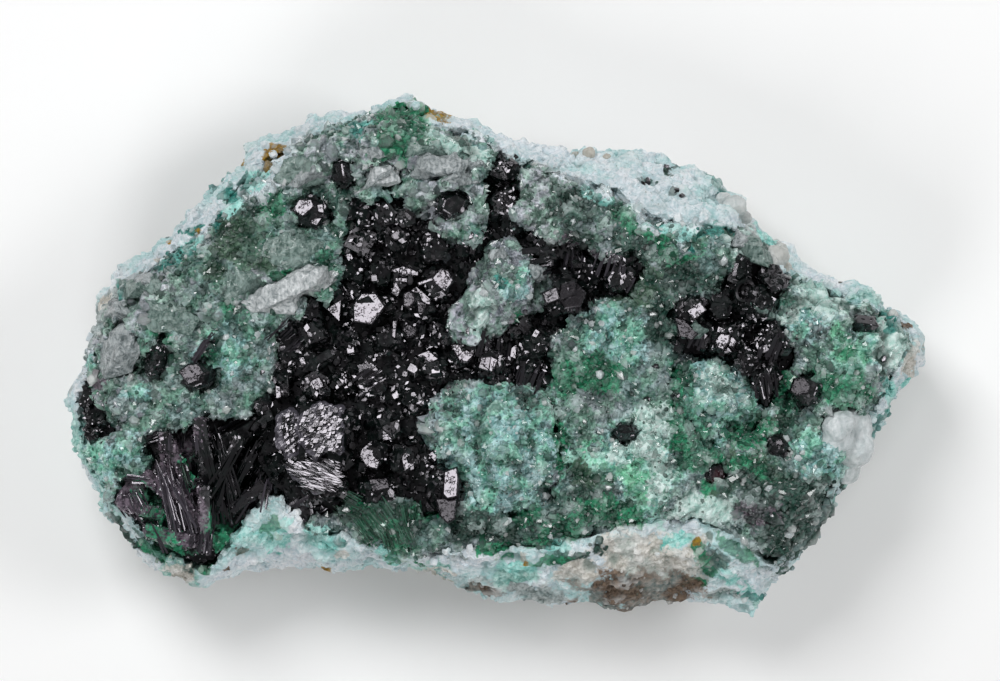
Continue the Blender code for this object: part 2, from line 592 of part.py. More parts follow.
def build_matrix(ground, material):
    """The host rock: a bare rim round the pocket, the pocket itself and the broken back."""
    bm = ground.sheet("rim", GAP / 2)
    for vert in bm.verts:
        vert.co.z = rim_height(vert.co.x, vert.co.y)
    border = [edge for edge in bm.edges if edge.is_boundary]
    waist = []
    pocket = []
    for edge in border:
        middle = (edge.verts[0].co + edge.verts[1].co) / 2
        on_waist = distance_to(middle.x, middle.y, ROCK_OUTLINE) < 0.05
        (waist if on_waist else pocket).append(edge)
    pocket = extrude_ring(bm, pocket)
    for vert in {vert for edge in pocket for vert in edge.verts}:
        vert.co.z = POCKET_FLOOR
    bmesh.ops.edgeloop_fill(bm, edges=pocket)
    starts = {vert: vert.co.copy() for edge in waist for vert in edge.verts}
    for share, lumps in BACK_RINGS:
        ring = extrude_ring(bm, waist)
        starts = shape_back_ring(waist, ring, starts, share, lumps)
        waist = ring
    bmesh.ops.edgeloop_fill(bm, edges=waist)
    return make_object("matrix", bm, material)


def extrude_ring(bm, edges):
    """Extrude a ring of edges and return the new ring's edges."""
    result = bmesh.ops.extrude_edge_only(bm, edges=edges)
    new_verts = {item for item in result["geom"] if isinstance(item, bmesh.types.BMVert)}
    new_edges = [item for item in result["geom"] if isinstance(item, bmesh.types.BMEdge)]
    return [edge for edge in new_edges if all(vert in new_verts for vert in edge.verts)]


def back_height(x, y):
    """Height of the broken back over the flat patch, as the highest of its breaks."""
    height = 0.0
    for heading, slope, start in BACK_BREAKS:
        angle = math.radians(heading)
        reach = x * math.cos(angle) + y * math.sin(angle) - start
        height = max(height, reach * math.tan(math.radians(slope)))
    return height


def shape_back_ring(old_ring, new_ring, starts, share, lumps):
    """Place a ring of the broken back as a smaller, lumpy copy of the waist."""
    moved = {}
    old_verts = {vert for edge in old_ring for vert in edge.verts}
    for vert in {vert for edge in new_ring for vert in edge.verts}:
        around = [edge.other_vert(vert) for edge in vert.link_edges]
        start = starts[next(other for other in around if other in old_verts)]
        reach = share + 0.03 * rough(start.x, start.y, share * 30.0, 5.0, 9.3) * (lumps > 0.0)
        x, y = start.x * reach, start.y * reach
        height = back_height(x, y) + lumps * rough(x, y, 0.0, 3.4, 2.7)
        vert.co = (x, y, max(0.0, min(height, start.z - WAIST_DROP)) if lumps > 0.0 else 0.0)
        moved[vert] = start
    return moved


def build_crust(ground, name, height_at, sockets, material):
    """A layer of drusy quartz over the pocket, pointed all over, with room for what grew in it."""
    bm = ground.body(name, GAP / 2, POCKET_FLOOR + BED_GAP, height_at, DRUSE_TIP)
    crust = make_object(name, bm, material)
    if sockets:
        add_boolean(crust, sockets, "DIFFERENCE").use_self = True
        keep_outer_body(crust)
    return crust


def scatter_crystals(bm, ground, name, taken, rng):
    """Fill a cluster between its larger crystals with smaller ones at all angles."""
    bed_top, spacing, sizes, rises = CLUSTER_BEDS[name]
    foot = bed_top - CRYSTAL_ROOT
    own = [number for number, zone in enumerate(ground.zones) if zone == name]
    covered = [[ground.points[index] for index in ground.triangles[number]] for number in own]
    for x, y, _ in lattice(spacing, 0.3 * spacing, rng):
        size = rng.uniform(*sizes)
        rise = rng.uniform(*rises)
        lean = rng.uniform(6.0, 34.0)
        heading = rng.uniform(0.0, 360.0)
        roof = rng.choice(("flat", "chisel"))
        on_cluster = any(is_inside(x, y, triangle) for triangle in covered)
        if on_cluster and all(math.hypot(x - tx, y - ty) > CLEARING * across for tx, ty, across in taken):
            second = size * rng.uniform(0.75, 1.0)
            grow_crystal(bm, x, y, size, second, bed_top + rise, foot, lean, heading, roof, sides=4)


def build_cluster(ground, name, shapes, taken, sockets, seed, material):
    """Crystals grown together on one bed, each rooted in it."""
    bed_top = CLUSTER_BEDS[name][0]
    crystals = bmesh.new()
    for shape in shapes:
        shape(crystals, bed_top - CRYSTAL_ROOT)
    scatter_crystals(crystals, ground, name, taken, random.Random(seed))
    bed = ground.body(name, GAP, POCKET_FLOOR + BED_GAP, lambda x, y: bed_top)
    cluster = make_object(name, bed, material)
    grown = make_cutter(name + "_crystals", crystals)
    add_boolean(cluster, grown, "UNION").use_self = True
    reach = make_cutter(name + "_reach", ground.body(name, GAP / 2, 0.0, lambda x, y: ABOVE_ALL))
    add_boolean(cluster, reach, "INTERSECT")
    add_boolean(cluster, sockets, "DIFFERENCE")
    keep_outer_body(cluster)
    for helper in (grown, reach):
        bpy.data.objects.remove(helper, do_unlink=True)
    return cluster


def in_fixed_order(mesh):
    """The same mesh with its points and faces in an order that is the same each run."""
    points = sorted(mesh.vertices, key=lambda vert: tuple(vert.co))
    place = {vert.index: index for index, vert in enumerate(points)}
    faces = []
    for face in mesh.polygons:
        corners = [place[index] for index in face.vertices]
        start = corners.index(min(corners))
        faces.append(corners[start:] + corners[:start])
    ordered = bpy.data.meshes.new(mesh.name)
    ordered.from_pydata([vert.co for vert in points], [], sorted(faces))
    return ordered


def keep_outer_body(item):
    """Apply the Booleans and leave out the hollows that they close between crystals."""
    view = bpy.context.evaluated_depsgraph_get()
    mesh = in_fixed_order(bpy.data.meshes.new_from_object(item.evaluated_get(view)))
    mesh.materials.append(item.data.materials[0])
    item.modifiers.clear()
    item.data = mesh
    bm = bmesh.new()
    bm.from_mesh(mesh)
    groups = []
    seen = set()
    for start in bm.verts:
        group = [] if start in seen else [start]
        seen.add(start)
        for vert in group:
            for edge in vert.link_edges:
                other = edge.other_vert(vert)
                if other not in seen:
                    seen.add(other)
                    group.append(other)
        groups.append(group)
    outer = max(groups, key=len)
    inner = [vert for group in groups if group is not outer for vert in group]
    bmesh.ops.delete(bm, geom=inner, context="VERTS")
    merge_flat(bm, bm.faces[:])
    bm.to_mesh(mesh)
    bm.free()


def crystal_shape(row):
    """A function that grows one named crystal of a cluster."""
    x, y, across, top, lean, heading, roof = row
    return lambda bm, foot: grow_crystal(bm, x, y, across, 0.9 * across, top, foot, lean, heading, roof)


def block_shape(row):
    """A function that grows one etched block as parallel slabs of unequal height."""
    x, y, length, width, top, heading = row

    def grow(bm, foot):
        turn = Matrix.Rotation(math.radians(heading), 3, "Z")
        slab_width = width / BLOCK_SLABS
        for slab in range(BLOCK_SLABS):
            middle = (slab - (BLOCK_SLABS - 1) / 2) * slab_width
            slab_top = top - BLOCK_STEP * ((slab * 2) % 3)
            slab_length = length - 2 * BLOCK_STEP * ((slab + 1) % 3)
            points = []
            for end in (-0.5, 0.5):
                for side in (-0.5, 0.5):
                    across = middle + side * slab_width * 1.08
                    points.append(Vector((end * slab_length, across, foot)))
                    points.append(Vector((end * slab_length, across, slab_top - 0.9)))
                    crest = middle + side * slab_width * 0.7
                    points.append(Vector((end * (slab_length - 1.0), crest, slab_top)))
            add_hull(bm, [turn @ point + Vector((x, y, 0.0)) for point in points], foot)

    return grow


def blade_shape(row):
    """A function that grows one long blade out of the bed of the fan."""
    x, y, length, width, thickness, heading, rise = row

    def grow(bm, foot):
        turn = Matrix.Rotation(math.radians(heading), 3, "Z") @ Matrix.Rotation(math.radians(-rise), 3, "Y")
        points = []
        for side in (-0.5, 0.5):
            for end in (-0.5, 0.5):
                points.append(Vector((end * length * 0.9, side * width, -0.4 * thickness)))
                points.append(Vector((end * length * 0.9, side * width * 0.8, 0.4 * thickness)))
            points.append(Vector((side * length, 0.0, 0.1 * thickness)))
            points.append(Vector(((side - 0.2) * 0.5 * length, 0.0, -BLADE_HEIGHT)))
        middle = Vector((x, y, foot + BLADE_HEIGHT))
        add_hull(bm, [turn @ point + middle for point in points], foot)

    return grow


def add_socket(bm, corners, low):
    """Add an upright hole, a little wider than a crystal, that the crystal stands in."""
    hull = [Vector(corners[index]) for index in convex_hull_2d(corners)]
    middle = sum(hull, Vector((0.0, 0.0))) / len(hull)
    nearest = HALF_LENGTH
    for start, end in zip(hull, hull[1:] + hull[:1]):
        side = (end - start).normalized()
        offset = middle - start
        nearest = min(nearest, abs(side.x * offset.y - side.y * offset.x))
    wider = (nearest + BED_GAP) / nearest
    rings = []
    for height in (low - BED_GAP, ABOVE_ALL):
        rings.append([bm.verts.new((*(middle + (point - middle) * wider), height)) for point in hull])
    bm.faces.new(rings[0])
    bm.faces.new(rings[1])
    for index in range(len(hull)):
        after = (index + 1) % len(hull)
        bm.faces.new((rings[0][index], rings[0][after], rings[1][after], rings[1][index]))


def build_lone_crystal(name, row, sockets, material):
    """One atacamite crystal standing in the quartz crust."""
    x, y, across, second, rise, lean, heading, roof = row
    surface = crust_height(x, y)
    bm = bmesh.new()
    foot = surface - LONE_DEPTH
    grow_crystal(bm, x, y, across, second, surface + rise, foot, lean, heading, roof)
    add_socket(sockets, [vert.co.to_2d() for vert in bm.verts], foot)
    return make_object(name, bm, material)


def build_clear_piece(name, outline, rise, sockets, material):
    """A clear crystal with a large, slightly sloping face, set in the quartz crust."""
    middle = sum((Vector(corner) for corner in outline), Vector((0.0, 0.0))) / len(outline)
    surface = crust_height(middle.x, middle.y)
    foot = surface - LONE_DEPTH
    points = []
    for corner in outline:
        away = Vector(corner) - middle
        slope = CLEAR_SLOPE * away.x
        for share, height in ((0.8, foot), (1.0, surface + 0.4 * rise), (0.72, surface + rise + slope)):
            points.append(Vector((*(middle + away * share), height)))
    bm = bmesh.new()
    add_hull(bm, points, foot)
    add_socket(sockets, [vert.co.to_2d() for vert in bm.verts], foot)
    return make_object(name, bm, material)


def build_specimen():
    """Build every piece of the specimen."""
    rock = make_material("copper_stained_rock", (0.47, 0.60, 0.56), 0.85)
    druse = make_material("drusy_quartz", (0.27, 0.38, 0.33), 0.4)
    atacamite = make_material("atacamite", (0.012, 0.020, 0.018), 0.16)
    clear = make_material("clear_quartz", (0.72, 0.78, 0.75), 0.12, transmission=0.8, ior=1.54)
    ground = Ground()

    socket_mesh = bmesh.new()
    for name, row in LONE_CRYSTALS.items():
        build_lone_crystal(name, row, socket_mesh, atacamite)
    for name, (outline, rise) in CLEAR_PIECES.items():
        build_clear_piece(name, outline, rise, socket_mesh, clear)
    sockets = make_cutter("crystal_sockets", socket_mesh)

    build_matrix(ground, rock)
    build_crust(ground, "quartz_crust_left", crust_height, sockets, druse)
    build_crust(ground, "quartz_crust_right", crust_height, sockets, druse)
    for name in MOUND_RISE:
        build_crust(ground, name, lambda x, y, mound=name: mound_height(mound, x, y), None, druse)

    shapes = {
        "atacamite_main_cluster": [crystal_shape(row) for row in MAIN_CRYSTALS],
        "atacamite_right_cluster": [crystal_shape(row) for row in RIGHT_CRYSTALS],
        "atacamite_blades": [blade_shape(row) for row in BLADES],
        "atacamite_left_cluster": [],
    }
    shapes["atacamite_main_cluster"] += [block_shape(row) for row in ETCHED_BLOCKS]
    taken = [row[:3] for row in MAIN_CRYSTALS + RIGHT_CRYSTALS]
    taken += [(row[0], row[1], 0.6 * row[2]) for row in ETCHED_BLOCKS]
    for seed, (name, grown) in enumerate(shapes.items(), start=7):
        build_cluster(ground, name, grown, taken, sockets, seed, atacamite)


clear_scene()
build_specimen()
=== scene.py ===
"""Looks of the atacamite specimen: glossy black crystals on quartz druse and copper-stained rock.

The tables give lengths in millimetres, seen from above with X to the right and Y up the picture,
and MM turns them into metres when a mesh is made.
"""
import math
import random

import bpy
import numpy as np
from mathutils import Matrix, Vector
from mathutils.bvhtree import BVHTree


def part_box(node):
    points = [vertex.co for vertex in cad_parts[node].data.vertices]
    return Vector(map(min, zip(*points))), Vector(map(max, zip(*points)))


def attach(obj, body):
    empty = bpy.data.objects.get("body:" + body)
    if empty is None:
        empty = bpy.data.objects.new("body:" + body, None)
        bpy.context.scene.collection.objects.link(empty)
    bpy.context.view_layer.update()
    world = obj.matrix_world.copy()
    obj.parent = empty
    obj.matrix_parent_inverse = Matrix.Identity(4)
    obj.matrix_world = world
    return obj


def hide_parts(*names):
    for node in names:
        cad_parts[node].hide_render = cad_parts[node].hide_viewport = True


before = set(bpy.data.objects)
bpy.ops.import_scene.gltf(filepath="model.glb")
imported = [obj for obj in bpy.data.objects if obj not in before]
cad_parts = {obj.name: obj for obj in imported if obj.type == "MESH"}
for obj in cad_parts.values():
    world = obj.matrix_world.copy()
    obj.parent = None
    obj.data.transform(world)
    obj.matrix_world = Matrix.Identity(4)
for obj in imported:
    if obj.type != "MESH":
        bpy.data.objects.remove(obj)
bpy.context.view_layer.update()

MM = 0.001

# Camera and lamps: the way to each lamp, its width and its brightness
VIEW_MIDDLE = Vector((0.333, 1.375, 15.0))
VIEW_WIDTH = 83.33
CAMERA_HEIGHT = 430.0
SENSOR_WIDTH = 36.0
LAMP_DISTANCE = 330.0
LAMPS = {
    "key_lamp": (Vector((-0.32, 0.50, 0.80)).normalized(), 142.0, 10.0),
    "right_lamp": (Vector((0.72, 0.10, 0.68)).normalized(), 130.0, 7.2),
    "front_lamp": (Vector((-0.30, -0.66, 0.68)).normalized(), 130.0, 6.2),
}
WORLD_LIGHT = 0.15
FLOOR_SIZE = 2400.0
# How near and how far the camera sees, in metres
NEAREST_SEEN, FURTHEST_SEEN = 0.01, 10.0

# A height above everything, from which the surfaces below are looked for, and the heights taken
# where there is none below a place on a crust or on a cluster
OVERHEAD = 60.0
BARE_CRUST = 14.0
BARE_CLUSTER = 15.0
# Places tried for each spot on a surface that is then kept
TRIES = 5

# Stains on rock and crusts: x, y, half-length, half-width, heading in degrees
PATCHES = {
    "grey": (
        (-29.3, 4.9, 2.6, 2.3, 0), (-15.6, 17.1, 2.4, 2.2, 0), (-9.2, 16.8, 3.0, 1.3, 0),
        (-4.1, 12.7, 3.4, 2.4, 0), (-5.3, 10.1, 1.6, 1.0, 0), (4.3, 13.1, 3.0, 2.8, 0),
        (21.8, 9.3, 2.8, 1.8, -20), (26.8, -8.6, 1.6, 3.0, -20), (-19.0, 6.0, 3.4, 2.0, 15),
        (3.7, -20.3, 3.4, 0.8, -12), (19.0, -20.4, 2.4, 0.5, -10), (-13.4, 16.0, 1.2, 1.2, 0),
        (-33.9, 1.9, 4.2, 1.3, 69), (-1.6, -19.4, 2.6, 0.8, -15),
    ),
    "mint": (
        (-29.4, -3.0, 1.6, 0.8, 0), (-31.7, -8.3, 2.3, 1.8, 0), (0.0, -7.3, 5.6, 5.4, 0),
        (18.3, -3.5, 4.2, 3.6, 0), (12.1, -9.0, 3.3, 4.6, 0), (25.8, 4.4, 3.2, 2.1, 0),
        (32.0, 0.8, 2.4, 2.2, 0), (-26.7, -17.8, 2.0, 1.2, 0), (-33.8, -0.6, 0.6, 0.8, 0),
        (-3.4, 18.1, 2.8, 1.5, -25), (9.5, 2.0, 2.8, 2.8, 0), (31.3, 4.7, 1.8, 0.9, -30),
        (21.6, -21.4, 0.9, 0.9, 0), (1.8, 6.4, 1.6, 1.3, 0), (27.2, -9.0, 2.4, 2.4, 0),
        (-22.0, 1.0, 2.6, 1.8, 0), (-5.3, -18.2, 1.6, 0.9, 0), (1.2, -18.6, 1.6, 0.9, 0),
        (-34.1, -8.4, 5.2, 1.5, -70),
    ),
    "spring": (
        (11.6, -10.6, 1.8, 2.4, 0), (28.5, -0.2, 1.5, 2.6, 0), (21.1, -8.5, 1.6, 1.0, 0),
        (7.6, -8.6, 2.4, 2.0, 0), (30.2, -1.0, 1.2, 1.6, 0), (-7.2, 17.6, 0.8, 1.2, 0),
        (28.4, -2.6, 2.2, 1.5, 0),
    ),
    "pale": (
        (12.9, -5.6, 2.2, 1.9, 0), (13.9, -9.4, 1.0, 2.4, 0), (17.5, -12.4, 2.1, 1.9, 0),
        (18.2, -2.2, 1.6, 1.2, 0), (21.8, 9.4, 3.2, 2.0, -20), (-3.4, 17.6, 2.8, 1.5, -25),
        (33.2, 0.9, 2.0, 2.5, 0), (-9.4, 17.8, 1.2, 0.8, 0), (27.2, 4.9, 2.8, 1.4, -20),
        (24.3, 4.4, 1.4, 1.0, 0), (-1.6, 3.0, 1.0, 2.0, 0), (-3.4, 17.8, 2.2, 1.2, -25),
        (10.6, 12.4, 1.4, 0.6, -38), (12.2, -8.0, 2.2, 1.2, 0), (29.6, -5.6, 1.2, 1.6, 0),
    ),
    "white": (
        (-29.8, 7.6, 2.4, 1.1, 40), (-25.5, 10.8, 2.7, 1.3, 42), (-22.2, 13.7, 2.4, 1.3, 48),
        (-19.3, 16.0, 2.6, 1.9, 40), (-16.0, 19.2, 2.8, 1.0, 30), (-4.2, 19.6, 3.0, 0.9, -16),
        (2.0, 17.4, 4.0, 0.7, -22), (7.8, 14.6, 3.6, 1.0, -30), (14.0, 13.0, 4.0, 2.6, -20),
        (20.5, -18.2, 2.0, 1.3, -40),
    ),
    "turquoise": (
        (-19.6, -14.7, 2.8, 1.0, 20), (14.7, 11.0, 2.1, 0.6, -18), (22.2, 10.4, 1.7, 0.7, -35),
        (-22.6, 12.0, 1.6, 0.6, 45), (-26.0, 8.6, 1.8, 0.5, 42), (-14.8, -15.4, 1.2, 0.7, 0),
        (18.6, -18.2, 2.2, 0.9, -30), (5.0, -16.3, 1.4, 0.6, 0), (-20.2, 15.0, 1.4, 0.7, 45),
        (1.6, -17.6, 1.6, 0.8, 0), (33.6, -3.0, 1.0, 1.2, 50), (14.6, -15.0, 1.6, 0.5, 10),
        (-9.0, -16.6, 1.2, 0.5, -20), (8.2, 13.4, 1.6, 0.5, -24), (-11.2, 19.3, 1.0, 0.4, 0),
        (20.9, -19.5, 1.2, 0.5, -40),
    ),
    "beige": (
        (13.0, -16.7, 5.0, 2.1, 0), (-5.3, -18.5, 1.8, 0.7, 0), (6.6, -18.2, 1.9, 0.9, 0),
        (2.3, -16.9, 0.4, 0.6, 0), (-13.3, -16.4, 0.6, 0.4, 0), (34.9, -0.3, 0.8, 2.4, -10),
        (35.0, -1.6, 0.9, 1.0, 0), (-33.1, 4.7, 0.5, 0.5, 0), (15.3, 10.3, 0.5, 0.4, -45),
        (-28.5, 8.2, 0.4, 0.3, 0), (16.4, -15.6, 1.2, 0.8, 0), (23.9, 8.4, 1.1, 0.9, 0),
        (-26.6, -17.7, 1.5, 0.7, 0),
    ),
    "olive": (
        (-21.2, 10.0, 2.0, 1.7, 0), (-23.4, 7.4, 1.4, 1.2, 0), (-20.0, 8.0, 1.6, 1.0, 0),
        (26.0, -15.4, 1.6, 1.4, 0), (23.0, -5.6, 1.6, 1.4, 0), (-17.0, 0.6, 1.0, 1.4, 0),
        (20.8, -9.6, 3.8, 1.8, 0), (7.0, -10.2, 1.6, 1.4, 0), (12.2, 5.6, 2.6, 1.6, 0),
    ),
    "dark": (
        (24.9, -13.2, 3.8, 3.9, 0), (6.5, -12.2, 2.6, 1.2, 10), (6.6, -13.6, 2.8, 1.2, 12),
        (4.1, -14.6, 3.0, 0.9, 8), (8.0, 8.0, 4.4, 1.6, -12), (6.0, -16.9, 1.6, 0.5, 14),
        (8.5, -16.0, 0.5, 1.0, 0), (18.0, -16.9, 1.1, 1.5, 0), (12.7, 14.7, 0.7, 0.4, -20),
        (15.1, 13.6, 0.55, 0.65, 0), (14.6, 16.1, 0.4, 0.5, 0), (-9.0, -13.4, 4.6, 2.4, -20),
        (-25.0, -16.6, 1.6, 1.2, 0), (-2.8, -13.4, 2.4, 1.5, 0), (1.6, -14.0, 3.4, 1.2, 8),
        (-21.0, 11.8, 1.6, 1.0, 20), (7.8, -13.2, 1.8, 0.9, 20), (4.4, -14.2, 2.8, 0.9, 12),
        (0.8, -12.9, 3.2, 0.8, 0), (-16.2, 9.2, 1.0, 1.6, 0), (11.6, 9.6, 2.6, 1.1, -24),
        (16.4, 6.6, 2.0, 1.2, 0), (6.2, 12.6, 1.6, 2.2, 0), (13.6, 2.6, 1.2, 3.0, 0),
        (24.2, -6.2, 1.6, 1.6, 0), (28.4, -14.0, 5.4, 1.6, 50), (-31.2, -15.2, 2.4, 1.1, -44),
        (-13.0, 13.2, 1.4, 0.7, 0), (-23.6, 0.8, 0.7, 1.6, -35), (27.2, -11.2, 1.2, 1.6, 0),
        (22.6, -11.6, 1.4, 1.2, 0), (2.0, -3.4, 1.4, 1.0, 0), (20.6, -10.2, 1.4, 1.4, 0),
        (-27.8, 10.4, 0.5, 0.25, 45),
    ),
    "mauve": (
        (21.6, -13.2, 1.7, 1.3, 0), (8.0, 7.9, 4.2, 1.4, -12), (5.4, 9.4, 2.2, 1.0, 0),
        (-33.0, -1.9, 0.5, 0.6, 0), (3.0, 2.4, 1.6, 1.0, 0),
    ),
    "teal": (
        (-22.8, 13.6, 0.9, 1.0, 0), (-23.3, 11.1, 0.35, 0.8, 0), (-25.6, 8.4, 0.9, 0.4, 40),
        (-27.5, 7.5, 1.2, 0.5, 30), (-21.1, 14.8, 0.8, 0.5, 40), (-11.8, 18.8, 0.8, 1.2, 0),
        (17.7, 10.0, 1.4, 0.9, 0), (-13.2, -15.3, 0.7, 0.45, 0), (18.9, 14.4, 1.6, 0.25, -38),
        (33.4, 2.4, 1.0, 1.0, 0), (-25.4, 10.6, 0.6, 0.5, 30), (0.6, 6.6, 0.7, 0.5, 0),
        (-31.6, 5.9, 0.5, 1.2, 30), (32.4, -5.0, 2.0, 0.4, 58), (21.4, -20.4, 1.6, 0.35, -8),
    ),
    "green": (
        (7.6, -13.0, 3.4, 1.0, 14), (-7.6, 20.0, 2.2, 1.2, 0), (-18.9, 12.1, 1.7, 1.3, 0),
        (-21.7, 3.7, 1.3, 0.8, 10), (-27.3, 2.0, 0.7, 0.55, 0), (-14.2, 8.4, 0.8, 1.4, 0),
        (-23.4, -0.1, 1.0, 0.6, 20), (-7.9, 19.0, 2.4, 2.4, 0), (6.9, -1.5, 2.5, 2.1, -10),
        (1.7, 3.2, 0.6, 0.35, 0), (10.8, 11.3, 2.0, 0.8, -38), (13.8, 10.0, 1.1, 0.9, 0),
        (16.2, 8.1, 1.6, 0.8, -10), (16.0, -6.0, 5.2, 1.3, -70), (5.1, -7.4, 0.5, 2.8, 0),
        (17.2, -8.6, 1.4, 1.6, 0), (21.6, -6.2, 1.6, 1.0, 0), (10.5, -13.2, 2.1, 1.5, 0),
        (28.8, 0.8, 0.8, 1.3, 0), (28.6, -2.6, 3.0, 1.2, 0), (23.6, -2.7, 0.8, 2.2, 0),
        (-18.7, -13.8, 0.6, 1.1, 0), (-21.6, -13.7, 0.9, 0.7, 0), (-29.2, -16.2, 1.2, 0.6, -25),
        (-24.2, -17.6, 0.7, 0.7, 0), (-9.3, -14.8, 3.2, 1.2, -28), (-5.6, -13.0, 1.6, 0.9, 0),
        (17.6, -6.0, 1.2, 2.4, 20), (-17.6, 6.4, 0.8, 1.6, -20), (-0.1, -16.0, 1.4, 0.8, 0),
        (4.5, -17.2, 1.9, 0.4, 8), (4.6, -15.0, 2.4, 0.8, 8), (19.7, -16.0, 2.0, 0.48, -42),
        (16.8, -15.9, 1.1, 0.45, -30), (16.4, -18.8, 1.0, 0.4, 0), (21.3, -16.6, 1.4, 0.36, -44),
        (20.0, -9.2, 1.9, 0.8, 20), (22.0, -9.6, 1.2, 0.8, 0), (17.4, -17.6, 1.2, 0.4, -60),
        (-28.2, -17.0, 0.8, 0.4, 0), (-33.6, -3.8, 0.5, 1.4, 0), (29.8, -10.8, 0.6, 1.0, 0),
        (2.4, -12.8, 1.4, 0.8, 0), (-15.8, 12.0, 0.8, 0.8, 0),
    ),
    "brown": (
        (11.9, -20.2, 4.2, 2.6, -4), (9.4, -19.8, 2.2, 1.8, 0), (14.2, -19.2, 1.8, 1.6, 0),
        (-1.3, -19.9, 2.4, 0.7, -12), (-21.3, -16.3, 0.6, 0.28, 20), (-22.5, -18.0, 0.3, 0.35, 0),
        (34.6, 3.0, 0.5, 0.5, 0), (-20.3, 16.6, 0.6, 0.12, 40),
    ),
    "ochre": (
        (-18.2, 17.5, 0.75, 1.00, -28), (-21.4, 16.5, 0.3, 0.5, 0), (-5.2, 20.2, 1.2, 0.50, -20),
        (-27.5, 9.6, 0.35, 0.3, 0), (-25.0, 10.4, 0.3, 0.3, 0), (16.6, -15.3, 0.3, 0.45, 0),
        (-14.2, -17.9, 0.5, 0.25, 0), (2.3, -17.4, 0.3, 0.3, 0),
    ),
}

# Stains on the blade fan, whose left side is finer and mauve-grey
FAN_PATCHES = {
    "mauve": (
        (-26.9, -10.8, 1.8, 4.4, 12), (-25.7, -6.6, 1.9, 1.2, 0), (-30.4, -12.8, 1.8, 3.4, 20),
        (-24.6, -14.8, 1.8, 1.7, 0), (-29.6, -10.1, 1.4, 0.7, 0), (-27.6, -14.4, 2.6, 2.0, 0),
    ),
    "green": (
        (-28.9, -12.7, 1.5, 2.3, 0), (-27.2, -15.2, 2.0, 1.2, 0), (-25.9, -9.4, 0.4, 1.4, 10),
        (-22.6, -15.4, 1.4, 0.9, 0), (-30.8, -9.2, 0.8, 0.6, 0),
    ),
}

# How the outlines of stains are broken up: size and share of the lumps in their sideways shifts,
# and how much those grow for each millimetre below a height
DRIFT_LUMPS = ((2.1, 2.4), (0.9, 1.6), (0.4, 0.8))
DRIFT_GROWTH = 0.28
DRIFT_TOP = 12.0

# Fineness of the rock's mesh, and the steps that break its surface: kind, size, depth, direction
ROCK_VOXEL = 0.39
ROCK_STEPS = (
    ("CLOUDS", 1.6, 0.9, "X"), ("CLOUDS", 1.6, 0.9, "Y"), ("VORONOI", 2.6, 1.0, "NORMAL"),
    ("CLOUDS", 1.2, 1.1, "NORMAL"), ("CLOUDS", 0.5, 0.5, "NORMAL"),
)
# The pale rind starts at a height and is whole some millimetres above it
RIND_START = 3.0
RIND_RISE = 4.0
# Crumbs of rind: spacing, lowest height, and least and most half-width, length, spread of their leans
CRUMB_SPACING = 0.69
CRUMB_LOWEST = 8.0
CRUMB_SIZES = ((0.14, 0.46), 0.7, 0.7)

# The same for the quartz ground
DRUSE_VOXEL = 0.37
DRUSE_STEPS = (
    ("CLOUDS", 1.5, 1.2, "X"), ("CLOUDS", 1.5, 1.2, "Y"), ("VORONOI", 1.9, -1.3, "NORMAL"),
    ("VORONOI", 0.8, -0.5, "NORMAL"), ("CLOUDS", 0.5, 0.3, "NORMAL"),
)
# Quartz crusts and mounds, and how pale each is under its stains
DRUSE = {
    "quartz_crust_left": 0.10,
    "quartz_crust_right": 0.18,
    "quartz_mound_centre": 0.80,
    "quartz_mound_lower": 0.60,
    "quartz_mound_right": 0.40,
}
# Layers of points on them: spacing, least and most half-width, length, spread of their leans
POINT_LAYERS = ((0.34, 0.11, 0.29, 1.4, 0.75), (0.95, 0.28, 0.50, 1.4, 0.60))
# Lowest heights at which the points and the large clear crystals stand
POINT_LOWEST = 12.0
GLASSY_LOWEST = 12.4
# Share of the points whose tops look towards a lamp, and share left out in smooth places
SPARKLE_SHARE = 0.12
SPARSE_SHARE = 0.8
# Places where the points are few: x, y, half-length, half-width, heading
SMOOTH_PLACES = (
    (-29.8, 7.6, 2.2, 1.0, 40), (-25.5, 10.8, 2.5, 1.2, 42), (-22.2, 13.7, 2.2, 1.2, 48),
    (-19.6, 16.6, 2.2, 1.2, 40), (-16.0, 19.2, 2.6, 0.9, 30), (-4.2, 19.6, 2.8, 0.8, -16),
    (-1.9, 3.0, 1.8, 2.8, 0), (17.5, -12.3, 2.1, 1.9, 0), (-29.5, 5.0, 2.2, 2.0, 0),
    (-16.0, 17.0, 2.4, 1.6, 0), (-9.0, 16.9, 2.8, 1.0, 0), (28.6, 4.6, 2.6, 1.4, 0),
    (32.0, 0.6, 2.2, 2.0, 0), (-4.0, 12.6, 3.0, 2.2, 0), (-3.0, 18.3, 2.8, 1.4, -25),
    (-18.6, 6.2, 3.2, 1.6, 15),
)
